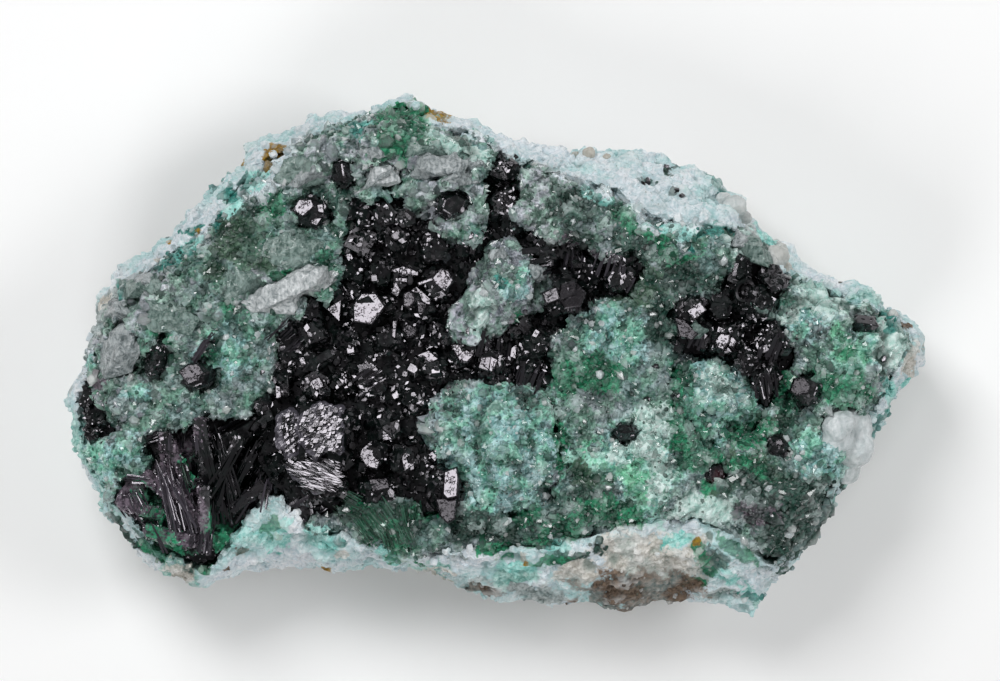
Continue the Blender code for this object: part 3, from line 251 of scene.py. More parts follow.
# Large clear crystals: x, y, half-length, half-width, spacing, least and most half-width
GLASSY_PLACES = (
    (-29.2, 4.8, 2.8, 2.4, 1.15, 0.50, 0.95), (-16.4, 16.9, 3.0, 1.9, 1.10, 0.50, 0.90),
    (-9.0, 16.6, 3.2, 1.2, 1.00, 0.40, 0.75), (-4.0, 12.6, 3.4, 2.5, 0.85, 0.32, 0.66),
    (-5.3, 10.1, 1.6, 1.0, 0.80, 0.30, 0.55), (0.8, 7.0, 2.6, 1.8, 0.80, 0.30, 0.62),
    (5.6, 3.2, 3.0, 2.6, 0.85, 0.28, 0.52), (21.9, 9.2, 2.8, 1.8, 1.00, 0.45, 0.85),
    (24.6, -7.0, 2.6, 2.0, 1.80, 0.28, 0.50), (18.3, -3.4, 4.0, 3.4, 1.20, 0.28, 0.50),
    (0.0, -7.3, 5.2, 5.0, 1.20, 0.26, 0.46), (9.4, 1.4, 3.4, 3.4, 1.15, 0.28, 0.52),
    (-20.6, 6.2, 4.6, 3.6, 1.60, 0.32, 0.62), (-3.4, 18.0, 2.8, 1.4, 1.20, 0.40, 0.75),
    (5.0, 13.0, 4.0, 3.0, 1.25, 0.26, 0.50), (12.4, -9.6, 3.2, 3.8, 1.40, 0.26, 0.44),
    (-29.0, -4.4, 3.6, 2.6, 1.30, 0.26, 0.46), (28.8, 1.6, 3.4, 3.0, 1.60, 0.28, 0.50),
)
# Single white grains: x, y, half-width
WHITE_GRAINS = (
    (24.1, -6.9, 0.44), (25.1, -8.4, 0.34), (22.7, -10.9, 0.36), (24.3, -14.7, 0.44), (21.5, -11.1, 0.22),
    (8.45, 4.0, 0.38), (8.0, 2.7, 0.42), (8.75, 2.8, 0.30), (7.4, 2.9, 0.24), (3.25, 1.9, 0.28),
    (6.5, 0.65, 0.28), (6.7, 1.5, 0.24), (8.5, -1.5, 0.42), (0.0, 8.4, 0.62), (-1.0, 5.4, 0.52),
    (-1.85, 6.95, 0.38), (3.4, 6.95, 0.52), (6.75, 6.75, 0.50), (7.5, 9.75, 0.36), (0.7, 2.85, 0.30),
    (2.75, 5.1, 0.36), (1.8, 5.7, 0.26), (-1.9, 9.7, 0.26), (4.1, -11.5, 0.50), (1.0, -13.6, 0.36),
    (-4.0, -14.4, 0.32), (4.5, -14.9, 0.28), (-13.1, -12.5, 0.28), (19.0, 8.0, 0.56), (6.4, 11.3, 0.32),
    (-19.8, 1.9, 0.30), (-18.6, 0.6, 0.26), (-22.4, 1.6, 0.34), (9.0, 5.2, 0.26), (-22.0, -1.4, 0.24),
)
# Small dark crystals out on the crusts: x, y, half-width
DARK_GRAINS = (
    (-20.4, 4.9, 0.42), (12.5, -3.5, 0.34), (13.2, -0.7, 0.32), (32.3, -0.1, 0.34), (-5.1, 14.8, 0.26),
    (-19.2, 2.4, 0.36), (-23.4, 1.4, 0.30), (-24.2, 0.2, 0.30), (-28.0, 3.0, 0.26), (8.3, 4.7, 0.40),
    (-19.4, -1.2, 0.30), (15.2, -3.2, 0.30), (19.2, 9.9, 0.40), (-10.3, 15.9, 0.22), (1.6, 16.7, 0.34),
    (12.8, 14.7, 0.40), (12.3, 14.5, 0.28), (14.9, 13.9, 0.34), (15.4, 13.4, 0.30), (14.4, 16.0, 0.30),
)

# Fineness of the clear crystals' mesh, the steps that break its surface, and the share of its faces
# kept as flat breaks
CLEAR_VOXEL = 0.14
CLEAR_STEPS = (("CLOUDS", 0.9, 0.5, "X"), ("CLOUDS", 0.9, 0.5, "Y"), ("CLOUDS", 0.9, 0.5, "NORMAL"))
CLEAR_SHARE = 0.14
# Broken clear crystals: outline seen from above, place of the top, rise over the ground
SHARDS = (
    (((-12.3, 14.4), (-11.8, 13.4), (-10.2, 12.8), (-8.7, 13.3), (-8.3, 14.8), (-8.4, 15.8),
      (-11.0, 15.2)), (-8.9, 15.1), 1.3),
    (((-7.2, 15.0), (-6.0, 14.6), (-4.7, 14.8), (-4.9, 16.1), (-5.7, 17.0), (-6.5, 16.5)),
     (-5.8, 16.3), 1.4),
    (((-4.5, 16.2), (-3.9, 15.7), (-2.1, 15.4), (-0.8, 15.6), (-0.9, 16.2), (-2.8, 16.4)),
     (-1.6, 16.0), 1.0),
    (((-4.7, 15.7), (-4.5, 14.4), (-3.2, 14.1), (-1.5, 14.4), (-2.1, 15.4)), (-3.4, 15.1), 0.8),
    (((-17.7, 14.1), (-16.6, 14.0), (-15.1, 14.4), (-14.0, 15.2), (-15.1, 15.9), (-16.9, 15.2)),
     (-15.3, 15.3), 0.7),
    (((-11.6, 17.0), (-10.2, 16.1), (-9.0, 16.6), (-9.6, 17.6)), (-10.0, 17.0), 0.7),
    (((-33.0, 3.4), (-31.4, 2.6), (-30.3, 3.4), (-30.9, 4.6), (-32.2, 4.8)), (-31.6, 3.9), 0.7),
    (((-30.6, 5.4), (-29.0, 4.9), (-28.0, 6.0), (-29.2, 7.2), (-30.6, 6.6)), (-29.2, 6.2), 0.6),
    (((19.5, 9.3), (20.8, 8.1), (22.8, 7.0), (24.0, 7.5), (23.1, 9.0), (20.2, 10.7)), (21.5, 9.0), 0.8),
    (((-1.6, 8.4), (-0.4, 7.6), (0.8, 8.0), (0.6, 9.2), (-0.6, 9.3)), (0.1, 8.6), 0.8),
    (((2.6, 7.6), (3.0, 6.4), (4.0, 6.3), (4.3, 7.2), (3.6, 7.8)), (3.6, 7.0), 0.7),
)
# Quartz that has grown over the right-hand cluster
CLUSTER_SHARDS = (
    (((20.9, 4.6), (20.4, 3.5), (21.6, 2.8), (23.2, 3.1), (23.0, 4.6)), (22.0, 3.9), 1.3),
    (((19.9, 9.7), (21.0, 7.9), (22.7, 7.4), (23.3, 8.9), (21.3, 10.4)), (21.8, 9.0), 0.6),
    (((14.9, 2.5), (15.4, 1.5), (17.0, 1.5), (17.7, 2.3), (16.4, 3.0)), (16.4, 2.2), 0.9),
)
# Clear plates of greener quartz, given in the same way
GREEN_SHARDS = (
    (((-31.2, 3.8), (-30.75, 3.0), (-28.5, 2.1), (-25.4, 1.8), (-24.5, 3.3), (-26.5, 4.6),
      (-29.1, 4.6)), (-27.4, 3.4), 0.7),
    (((-32.5, 5.7), (-30.9, 4.75), (-28.3, 5.2), (-27.1, 6.25), (-28.5, 6.8), (-31.6, 6.6)),
     (-29.6, 5.9), 0.6),
    (((-23.6, 5.4), (-21.6, 4.2), (-19.6, 5.2), (-19.4, 6.8), (-21.4, 7.4), (-23.2, 6.8)),
     (-21.2, 6.0), 0.5),
    (((-19.6, 8.4), (-17.4, 7.2), (-14.8, 7.8), (-13.9, 9.6), (-15.0, 11.2), (-17.4, 10.4),
      (-19.2, 9.6)), (-15.8, 9.2), 0.5),
    (((-18.6, 14.6), (-16.4, 14.0), (-13.2, 14.6), (-12.6, 16.0), (-14.6, 17.2), (-17.6, 16.4)),
     (-15.0, 15.4), 0.6),
    (((-7.6, 16.6), (-5.6, 15.8), (-3.6, 16.2), (-3.2, 18.4), (-5.0, 19.0), (-7.0, 18.2)),
     (-5.2, 17.4), 0.6),
)
# The same round the clear solids of the frame, whose broken outlines they give
CLEAR_OUTLINES = {
    "quartz_blade_upper_left": (
        (((-21.2, 4.6), (-20.3, 3.6), (-18.4, 3.6), (-16.8, 3.5), (-15.3, 4.3), (-14.1, 5.5), (-12.9, 7.1),
          (-14.7, 7.4), (-16.3, 6.9), (-17.7, 6.2), (-19.5, 5.8)), (-16.6, 5.5), 1.1),
    ),
    "calcite_plate_left": (
        (((-33.3, 1.6), (-33.1, -1.0), (-32.7, -1.9), (-30.3, -1.3), (-29.5, 0.4), (-30.0, 1.9),
          (-31.4, 2.8)),
         (-31.2, 0.4), 1.2),
    ),
}
# The steps that make the smooth knobs of quartz uneven
KNOB_STEPS = (("CLOUDS", 1.5, 0.5, "NORMAL"), ("CLOUDS", 0.4, 0.12, "NORMAL"))
# Smooth knobs of quartz: x, y, radius, warmth of colour
KNOBS = (
    (7.8, 17.1, 0.75, 1.0), (9.3, 16.9, 0.55, 1.0), (6.8, 17.0, 0.55, 0.7), (20.0, 12.6, 1.20, 0.2),
    (19.2, 13.2, 0.85, 0.2), (20.8, 11.7, 0.80, 0.3), (23.5, 8.4, 1.10, 0.4), (24.1, 9.0, 0.75, 0.5),
    (22.8, 7.9, 0.80, 0.3), (21.4, 9.4, 0.90, 0.1), (-33.7, -1.9, 0.60, 0.3), (-33.1, 4.7, 0.50, 0.9),
    (33.4, 3.6, 0.60, 0.4), (-33.9, -3.6, 0.45, 0.4),
)
# The knobs on the clear chunk at the right
CHUNK_KNOBS = (
    (29.4, -5.7, 2.20, 0.0), (27.9, -5.0, 1.60, 0.0), (29.8, -7.6, 1.90, 0.0), (29.4, -9.6, 1.20, 0.1),
    (28.4, -7.0, 1.50, 0.0),
)

# Small atacamite crystals on each cluster: spacing, least and most half-width, length, spread
NEEDLEWORK = {
    "atacamite_main_cluster": (0.37, (0.14, 0.60), 1.2, 0.75),
    "atacamite_right_cluster": (0.37, (0.14, 0.56), 1.2, 0.75),
    "atacamite_blades": (0.34, (0.11, 0.27), 1.3, 0.80),
    "atacamite_left_cluster": (0.36, (0.14, 0.42), 1.2, 0.75),
}
# Lowest height at which they stand
CLUSTER_LOWEST = 8.0
# Share of them whose tops look towards a lamp, where they do so most, the size of the groups that do,
# the part of those that each lamp gets, and how far they are off
FACING_SHARE = 0.40
FACING_GROUPS = 1.3
LAMP_PARTS = (("key_lamp", 0.0, 0.5), ("right_lamp", 0.5, 0.75), ("front_lamp", 0.75, 1.0))
FACING_WOBBLE = 0.20
# Right of this line in the fan the blades take the place of half of the small crystals
FAN_SPLIT = -24.2
FAN_SHARE = 0.50
# Small crystals on the sides of the single ones: spacing, and the rest as for the crumbs
SIDE_SPACING = 0.52
SIDE_SIZES = ((0.16, 0.44), 0.9, 0.5)

# Crystal faces that catch the lamp: corners seen from above, and degrees away from the full shine
BRIGHT_FACES = {
    "atacamite_main_cluster": (
        (((-11.1, 5.2), (-10.0, 5.2), (-9.3, 4.2), (-10.3, 2.8), (-11.7, 3.0), (-11.75, 4.3)), 0),
        (((-12.9, 4.7), (-14.0, 4.0), (-13.0, 3.0)), 3),
        (((-8.7, 7.2), (-7.7, 7.5), (-6.5, 7.05), (-6.5, 6.8), (-7.9, 6.9)), 1),
        (((-8.3, 6.55), (-7.4, 6.5), (-7.4, 6.25), (-8.3, 6.35)), 0),
        (((-8.3, 6.2), (-8.0, 5.6), (-8.15, 5.05), (-8.65, 5.35)), 4),
        (((-5.2, 6.55), (-4.6, 7.25), (-4.0, 7.1), (-3.6, 6.3), (-4.25, 5.5), (-4.95, 6.1)), 4),
        (((-6.45, 6.15), (-5.3, 6.55), (-5.25, 6.4), (-6.35, 6.0)), 1),
        (((-7.0, 5.55), (-6.6, 5.8), (-5.5, 4.85), (-5.5, 4.4), (-5.85, 4.45)), 4),
        (((-7.55, 5.2), (-7.2, 5.4), (-6.8, 5.1), (-6.8, 4.6), (-7.2, 4.2), (-7.6, 4.3)), 8),
        (((-6.5, 4.65), (-5.9, 4.4), (-6.05, 3.75), (-6.4, 3.75)), 9),
        (((-6.5, 0.15), (-5.6, 0.5), (-4.85, -0.15), (-5.45, -0.4)), 2),
        (((-7.9, 1.35), (-7.5, 1.2), (-7.35, 0.6), (-7.85, 0.1)), 2),
        (((-3.7, 3.85), (-4.3, 3.45), (-4.0, 4.05)), 0),
        (((-12.5, 8.5), (-12.1, 8.6), (-11.9, 8.2), (-12.25, 8.0)), 2),
        (((-7.7, 2.3), (-7.3, 2.7), (-6.8, 2.4), (-6.8, 1.9), (-7.3, 1.7)), 9),
        (((-8.55, 3.0), (-8.3, 2.95), (-8.4, 1.6), (-8.6, 1.75)), 5),
        (((-3.7, 1.0), (-3.1, 1.0), (-2.8, 0.4), (-2.1, 0.65), (-1.95, 0.15), (-2.4, -0.4),
          (-3.0, -0.25), (-3.3, 0.3)), 2),
        (((-1.2, -0.1), (-0.45, 0.0), (-0.65, -1.1), (-1.4, -0.85)), 6),
        (((-0.4, 0.0), (0.1, -0.25), (-0.35, -1.25), (-0.6, -1.1)), 0),
        (((1.2, 0.05), (1.3, 0.75), (1.7, 1.0), (1.6, -0.1)), 1),
        (((-3.4, -2.4), (-3.2, -1.9), (-2.7, -2.5)), 4),
        (((3.0, 1.8), (3.3, 2.3), (3.6, 2.1), (3.3, 1.6)), 1),
        (((-11.1, -7.65), (-10.35, -7.0), (-10.2, -8.2), (-10.7, -9.0), (-11.25, -8.2)), 5),
        (((-10.2, -8.2), (-9.7, -8.65), (-9.9, -9.2), (-10.7, -9.0)), 3),
        (((-9.45, -6.5), (-9.0, -6.4), (-8.7, -6.8), (-9.35, -6.9)), 4),
        (((-11.6, -9.2), (-11.0, -9.2), (-10.1, -9.8), (-10.25, -10.0), (-11.0, -9.9)), 2),
        (((-7.8, -8.3), (-7.55, -8.05), (-7.3, -8.8), (-6.8, -8.85), (-7.55, -9.4)), 3),
        (((-4.2, -9.55), (-3.3, -9.2), (-3.2, -10.0), (-3.3, -11.45), (-4.0, -11.6), (-4.3, -11.3)), 1),
        (((-4.9, -11.8), (-3.3, -11.7), (-3.5, -13.3), (-4.0, -13.6), (-4.5, -13.1)), 10),
        (((-5.6, -8.1), (-5.3, -7.9), (-4.8, -8.4), (-5.1, -8.65)), 3),
        (((3.9, 5.25), (4.95, 5.7), (5.2, 4.85), (4.2, 4.45)), 7),
        (((5.4, 5.9), (6.5, 6.3), (6.5, 5.2), (5.3, 4.7)), 13),
        (((6.6, 6.2), (7.3, 5.3), (6.9, 4.3), (5.7, 4.1), (5.4, 4.6), (6.6, 5.1)), 22),
        (((-16.35, -0.1), (-16.0, 0.0), (-15.8, -0.55), (-16.15, -0.65)), 0),
        (((-18.3, -2.4), (-18.0, -2.5), (-17.9, -3.3), (-18.25, -3.4)), 3),
        (((-15.3, -2.0), (-14.7, -1.7), (-14.3, -2.4), (-14.9, -2.7)), 5),
        (((-10.5, -10.2), (-9.1, -10.1), (-8.9, -10.8), (-10.2, -11.1)), 10),
    ),
    "atacamite_right_cluster": (
        (((15.85, 3.8), (16.85, 4.5), (17.3, 3.9), (16.4, 3.15)), 1),
        (((18.2, 1.3), (18.55, 1.9), (19.3, 1.8), (19.15, 1.25), (18.75, 0.7), (18.35, 0.85)), 1),
        (((19.25, 1.35), (19.55, 1.7), (19.85, 1.3), (19.6, 0.9), (19.3, 0.95)), 0),
        (((18.4, 2.5), (18.95, 2.3), (18.65, 2.05), (18.3, 2.1)), 2),
        (((19.2, 2.4), (19.45, 2.45), (19.6, 2.1), (19.35, 2.0)), 0),
        (((18.8, 0.55), (19.15, 0.85), (19.45, 0.45), (18.95, 0.4)), 3),
        (((16.0, 5.3), (16.8, 5.6), (16.9, 5.4), (16.1, 5.05)), 5),
        (((14.9, 3.2), (15.6, 3.0), (16.6, 1.9), (16.2, 1.6), (15.2, 1.9)), 9),
    ),
    "atacamite_crystal_upper_left": (
        (((-16.8, 12.2), (-16.3, 13.0), (-15.35, 13.0), (-15.15, 12.5), (-16.0, 11.75)), 1),
        (((-15.3, 11.4), (-14.5, 11.5), (-14.85, 10.95), (-15.25, 11.1)), 2),
        (((-14.8, 12.6), (-14.4, 12.65), (-14.3, 12.0), (-14.7, 12.05)), 3),
    ),
    "atacamite_crystal_left": (
        (((-26.2, -1.2), (-25.5, -0.7), (-24.75, -0.6), (-24.3, -1.25), (-24.75, -1.9), (-25.5, -2.2)), 8),
    ),
    "atacamite_crystal_right": (
        (((24.5, -2.75), (24.8, -1.9), (25.5, -1.75), (26.0, -2.4), (25.8, -2.9), (24.9, -3.1)), 9),
    ),
    "atacamite_crystal_lower_right": ((((23.2, -7.0), (23.6, -6.8), (23.8, -7.2), (23.4, -7.4)), 8),),
}
# Their bevel and depth, their rise over the ground, and the height at which they catch the lamp
FACE_BEVEL = 0.14
FACE_DEPTH = 2.0
FACE_RISE = 0.12
FACE_HEIGHT = 17.0

# Etched crystal faces, given as the bright ones are, the fineness of their mesh, and the steps that
# break its surface
ETCHED_VOXEL = 0.12
ETCHED_STEPS = (
    ("CLOUDS", 0.7, 0.7, "X"), ("CLOUDS", 0.7, 0.7, "Y"), ("CLOUDS", 0.9, 0.4, "NORMAL"),
    ("CLOUDS", 0.4, 0.16, "NORMAL"),
)
ETCHED_FACES = (
    (((-16.1, -4.8), (-14.8, -3.9), (-12.8, -4.3), (-12.7, -7.8), (-14.2, -7.6), (-14.8, -8.3),
      (-16.2, -6.9)), 2),
    (((-18.0, -4.9), (-16.9, -4.3), (-16.3, -5.1), (-16.4, -7.9), (-17.2, -8.2), (-18.1, -6.9)), 18),
    (((-17.2, -8.9), (-13.2, -8.5), (-13.2, -10.5), (-14.8, -11.1), (-16.9, -9.6)), 3),
)
# Small scales on them: outline, spacing, stretch along the heading, heading, wobble
ETCHED_SCALES = (
    (((-17.2, -8.9), (-13.3, -8.5), (-13.2, -10.6), (-15.2, -11.0)), 0.14, 7.0, -20, 8.0),
    (((-16.1, -4.8), (-14.8, -4.0), (-12.9, -4.4), (-12.8, -7.8), (-14.6, -8.1), (-16.1, -6.9)),
     0.27, 1.3, 35, 9.0),
    (((-17.9, -5.0), (-16.6, -4.6), (-16.4, -7.6), (-17.4, -7.9)), 0.24, 1.3, 60, 15.0),
)

# Scattered small shining facets: x, y, half-length, half-width, heading, count, least and most width
GLINTS = (
    (-8.0, 0.5, 5.4, 6.0, 0, 220, 0.08, 0.24), (-8.4, 10.2, 3.8, 2.8, 0, 90, 0.07, 0.20),
    (-1.75, 9.9, 2.1, 0.35, 24, 30, 0.08, 0.22), (0.85, 14.1, 0.9, 2.6, 0, 40, 0.07, 0.18),
    (-17.0, 1.0, 1.6, 3.0, 0, 60, 0.07, 0.18), (-15.0, -2.4, 1.2, 0.8, 0, 18, 0.10, 0.26),
    (-7.0, -9.0, 4.0, 2.4, 0, 50, 0.07, 0.20), (2.6, -0.4, 2.4, 1.8, 0, 26, 0.07, 0.16),
    (8.0, 7.8, 4.0, 1.4, -12, 50, 0.06, 0.16), (21.6, 1.7, 1.5, 1.8, 0, 70, 0.07, 0.20),
    (22.6, 1.4, 2.6, 5.0, 0, 60, 0.06, 0.18), (16.2, 3.7, 1.6, 2.2, 0, 24, 0.06, 0.16),
    (-21.5, -7.7, 0.8, 1.3, 0, 30, 0.07, 0.18), (-21.2, -10.3, 0.5, 0.6, 0, 12, 0.08, 0.18),
    (-20.6, -9.0, 2.6, 3.6, 0, 24, 0.05, 0.13), (-33.0, -5.1, 1.8, 2.1, 0, 44, 0.06, 0.15),
    (-28.2, 0.0, 1.0, 2.0, 0, 24, 0.06, 0.14), (-26.1, -9.9, 0.3, 0.3, 0, 3, 0.10, 0.20),
    (-26.6, -11.0, 2.0, 4.4, 12, 60, 0.04, 0.11), (-1.6, 0.6, 1.6, 2.0, 0, 26, 0.08, 0.20),
    (-3.2, -1.6, 2.0, 2.2, 0, 26, 0.07, 0.18), (-12.6, -12.4, 3.6, 1.4, 0, 24, 0.05, 0.13),
)

# Bundles of long thin crystals: x, y of the middle, length, width, count, heading, rise,
# least and most half-width, how mauve they are
BLADE_BUNDLES = (
    (-23.3, -8.4, 7.4, 2.0, 30, 107, 9, 0.07, 0.20, 0.0),
    (-21.5, -5.4, 4.8, 0.8, 9, 31, 8, 0.08, 0.16, 0.3),
    (-20.1, -8.2, 6.0, 3.4, 44, 62, 9, 0.07, 0.20, 0.0),
    (-18.9, -10.7, 3.2, 0.8, 9, 74, 10, 0.06, 0.12, 1.0),
    (-19.9, -10.1, 3.0, 0.6, 6, 72, 10, 0.06, 0.12, 0.6),
    (-26.8, -10.8, 6.0, 2.0, 36, 105, 8, 0.05, 0.12, 0.8),
    (-25.5, -9.2, 2.6, 1.0, 9, 100, 10, 0.14, 0.28, 0.0),
    (-25.9, -6.8, 1.8, 2.8, 26, 95, 20, 0.06, 0.14, 0.7),
    (-28.4, -6.7, 2.2, 1.6, 12, 20, 12, 0.10, 0.22, 0.1),
    (-29.6, -10.2, 2.2, 0.5, 7, -5, 4, 0.06, 0.12, 0.9),
    (-30.0, -12.6, 1.8, 2.4, 20, -60, 12, 0.05, 0.11, 0.7),
    (-24.7, -14.8, 2.2, 2.2, 26, 80, 18, 0.06, 0.14, 0.6),
    (-22.6, -10.4, 5.0, 1.6, 22, 85, 10, 0.07, 0.18, 0.1),
    (-18.0, -6.9, 4.2, 2.0, 24, 68, 10, 0.07, 0.18, 0.0),
    (-27.6, -13.8, 3.0, 2.0, 16, 115, 10, 0.06, 0.12, 0.5),
    (-20.8, -12.0, 3.0, 2.2, 14, 50, 12, 0.08, 0.18, 0.2),
)
# The same in the clusters, as striped crystals and needles
STRIPED_BUNDLES = (
    (0.0, 1.2, 2.4, 2.9, 26, 80, 4, 0.10, 0.20, 0.2), (2.8, -1.2, 2.4, 2.4, 20, 72, 6, 0.09, 0.18, 0.2),
    (6.7, 8.2, 2.2, 2.0, 16, 86, 8, 0.08, 0.18, 0.4), (3.6, 8.3, 2.0, 3.0, 14, 10, 4, 0.14, 0.30, 0.1),
    (-15.2, -12.2, 2.8, 1.8, 14, 34, 6, 0.10, 0.22, 0.4),
    (10.0, 7.4, 2.2, 4.0, 34, 74, 14, 0.06, 0.14, 0.5),
    (16.4, 1.9, 1.6, 1.6, 12, 66, 10, 0.08, 0.16, 0.3), (6.5, 5.2, 2.0, 1.8, 14, 100, 5, 0.08, 0.16, 0.3),
    (22.8, 1.3, 2.4, 1.8, 14, 70, 10, 0.08, 0.18, 0.2),
    (22.2, -2.0, 2.6, 2.0, 14, 95, 8, 0.08, 0.18, 0.1),
    (-17.0, 2.0, 3.0, 2.2, 26, 40, 10, 0.05, 0.12, 0.3),
    (-10.2, -1.6, 2.4, 2.0, 14, 30, 10, 0.08, 0.18, 0.2),
    (-24.0, 1.3, 2.8, 0.5, 9, 55, 8, 0.06, 0.14, 0.8),
)
# Green fibres under the main cluster
FIBRE_BUNDLES = (
    (-10.4, -13.2, 2.4, 3.6, 150, 128, 6, 0.016, 0.034, 0.0),
    (-8.4, -14.4, 2.0, 2.6, 110, 112, 6, 0.016, 0.034, 0.0),
    (-12.6, -12.2, 2.0, 2.4, 80, 150, 6, 0.016, 0.034, 0.0),
    (-7.2, -12.6, 1.6, 2.4, 60, 95, 6, 0.016, 0.034, 0.0),
    (-25.9, -9.4, 2.4, 0.5, 16, 105, 8, 0.02, 0.05, 0.0),
    (-28.6, -12.4, 1.2, 2.4, 40, 60, 12, 0.02, 0.05, 0.0),
)

# Crystals seen end on, with raised rings: x, y, radius, squash, heading, rings
RINGED = ((20.65, 5.5, 1.15, 0.82, 60, 2),)


def select_only(item):
    """Make one object the selected and active one."""
    bpy.ops.object.select_all(action="DESELECT")
    item.select_set(True)
    bpy.context.view_layer.objects.active = item


def apply_modifier(item, kind, **settings):
    """Add a modifier with its settings and apply it."""
    select_only(item)
    modifier = item.modifiers.new(kind.title(), kind)
    for setting, value in settings.items():
        setattr(modifier, setting, value)
    bpy.ops.object.modifier_apply(modifier=modifier.name)


def copy_solid(node, name):
    """A closed copy of a frame solid, ready to be shaped."""
    item = bpy.data.objects.new(name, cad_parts[node].data.copy())
    bpy.context.scene.collection.objects.link(item)
    item.data.materials.clear()
    apply_modifier(item, "WELD", merge_threshold=0.002 * MM)
    item.data.shade_flat()
    return item


def remesh(item, voxel):
    """Cover a piece anew with one even mesh."""
    apply_modifier(item, "REMESH", mode="VOXEL", voxel_size=voxel * MM)


def join_items(items, name):
    """Several objects joined into the first one, under a name."""
    bpy.ops.object.select_all(action="DESELECT")
    for item in items:
        item.select_set(True)
    bpy.context.view_layer.objects.active = items[0]
    bpy.ops.object.join()
    items[0].name = name
    return items[0]


def push_surface(item, kind, size, depth, direction):
    """Push the surface in and out in lumps of one size."""
    texture = bpy.data.textures.new("lumps", kind)
    texture.noise_scale = size * MM
    if kind == "VORONOI":
        texture.distance_metric = "DISTANCE"
        texture.noise_intensity = 1.0
    apply_modifier(
        item, "DISPLACE", texture=texture, texture_coords="LOCAL", strength=depth * MM, mid_level=0.5,
        direction=direction,
    )
    bpy.data.textures.remove(texture)


def push_steps(item, steps):
    """Push the surface through several steps, one after another."""
    for step in steps:
        push_surface(item, *step)


def corners_of(item):
    """Corners of a mesh in millimetres."""
    corners = np.empty(len(item.data.vertices) * 3, np.float32)
    item.data.vertices.foreach_get("co", corners)
    return corners.reshape(-1, 3).astype(float) / MM


def set_attribute(item, name, values):
    """Store one number for each corner of a mesh."""
    layer = item.data.attributes.new(name, "FLOAT", "POINT")
    layer.data.foreach_set("value", np.asarray(values, np.float32))


def shape_surface(item, steps):
    """Push a surface through several steps, and store how far out or in each corner went."""
    before = corners_of(item)
    normals = np.empty(len(before) * 3, np.float32)
    item.data.vertices.foreach_get("normal", normals)
    push_steps(item, steps)
    moved = np.einsum("nj,nj->n", corners_of(item) - before, normals.reshape(-1, 3))
    set_attribute(item, "relief", (moved - np.median(moved)) / moved.std())


def uneven(points, size, seed):
    """Smooth uneven values from 0 to 1, with lumps of one size."""
    scaled = points / size + 31.7 * seed
    home = np.floor(scaled).astype(np.int64)
    part = scaled - home
    part = part * part * (3.0 - 2.0 * part)
    total = np.zeros(len(points))
    for i in (0, 1):
        for j in (0, 1):
            for k in (0, 1):
                cell = home + (i, j, k)
                mixed = (cell[:, 0] * 73856093) ^ (cell[:, 1] * 19349663) ^ (cell[:, 2] * 83492791)
                mixed = ((mixed ^ (mixed >> 13)) * 1274126177) & 0x7FFFFFFF
                mixed = (mixed ^ (mixed >> 15)) & 0xFFFF
                weight = np.ones(len(points))
                for axis, step in enumerate((i, j, k)):
                    weight *= part[:, axis] if step else 1.0 - part[:, axis]
                total += weight * mixed / 65535.0
    return total


def drift_of(points):
    """Uneven sideways shifts, which break the outlines of oval patches and grow down the sides."""
    flat = points * (1.0, 1.0, 0.6)
    growth = 1.0 + DRIFT_GROWTH * np.clip(DRIFT_TOP - points[:, 2], 0.0, DRIFT_TOP)
    shifts = []
    for seed in (3, 8):
        shift = sum(
            share * (uneven(flat, size, seed + number) - 0.5)
            for number, (size, share) in enumerate(DRIFT_LUMPS)
        )
        shifts.append(growth * shift)
    return np.stack(shifts, axis=1)


def oval_distance(dx, dy, half_length, half_width, heading):
    """How far places lie from the middle of an oval, with 1 on its edge."""
    angle = math.radians(heading)
    along = (dx * math.cos(angle) + dy * math.sin(angle)) / half_length
    across = (dy * math.cos(angle) - dx * math.sin(angle)) / half_width
    return np.hypot(along, across)


def patch_strength(points, drift, patches):
    """How deep each point lies in a patch: 1 well inside, 0.5 on its edge, 0 well outside."""
    strength = np.zeros(len(points))
    for x, y, half_length, half_width, heading in patches:
        reach = min(1.0, 0.9 * min(half_length, half_width))
        dx, dy = points[:, 0] + reach * drift[:, 0] - x, points[:, 1] + reach * drift[:, 1] - y
        distance = oval_distance(dx, dy, half_length, half_width, heading)
        strength = np.maximum(strength, np.clip(1.5 - distance, 0.0, 1.0))
    return strength


def mark_stains(item, table, places=None, owners=None):
    """Store how strongly each stain lies on each corner, or on each whole crystal."""
    points = corners_of(item) if places is None else places
    drift = drift_of(points)
    for name, patches in table.items():
        strength = patch_strength(points, drift, patches)
        set_attribute(item, name, strength if owners is None else strength[owners])


def break_up(item):
    """Give a smooth piece an uneven outline and many flat broken faces."""
    remesh(item, CLEAR_VOXEL)
    push_steps(item, CLEAR_STEPS)
    apply_modifier(item, "DECIMATE", ratio=CLEAR_SHARE)
    item.data.shade_flat()


def add_piece(item, material, slot, *nodes):
    """Finish a piece: its material, the body it rides on and the solids that it stands for."""
    item.data.materials.clear()
    item.data.materials.append(material)
    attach(item, "root")
    if nodes:
        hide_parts(*nodes)


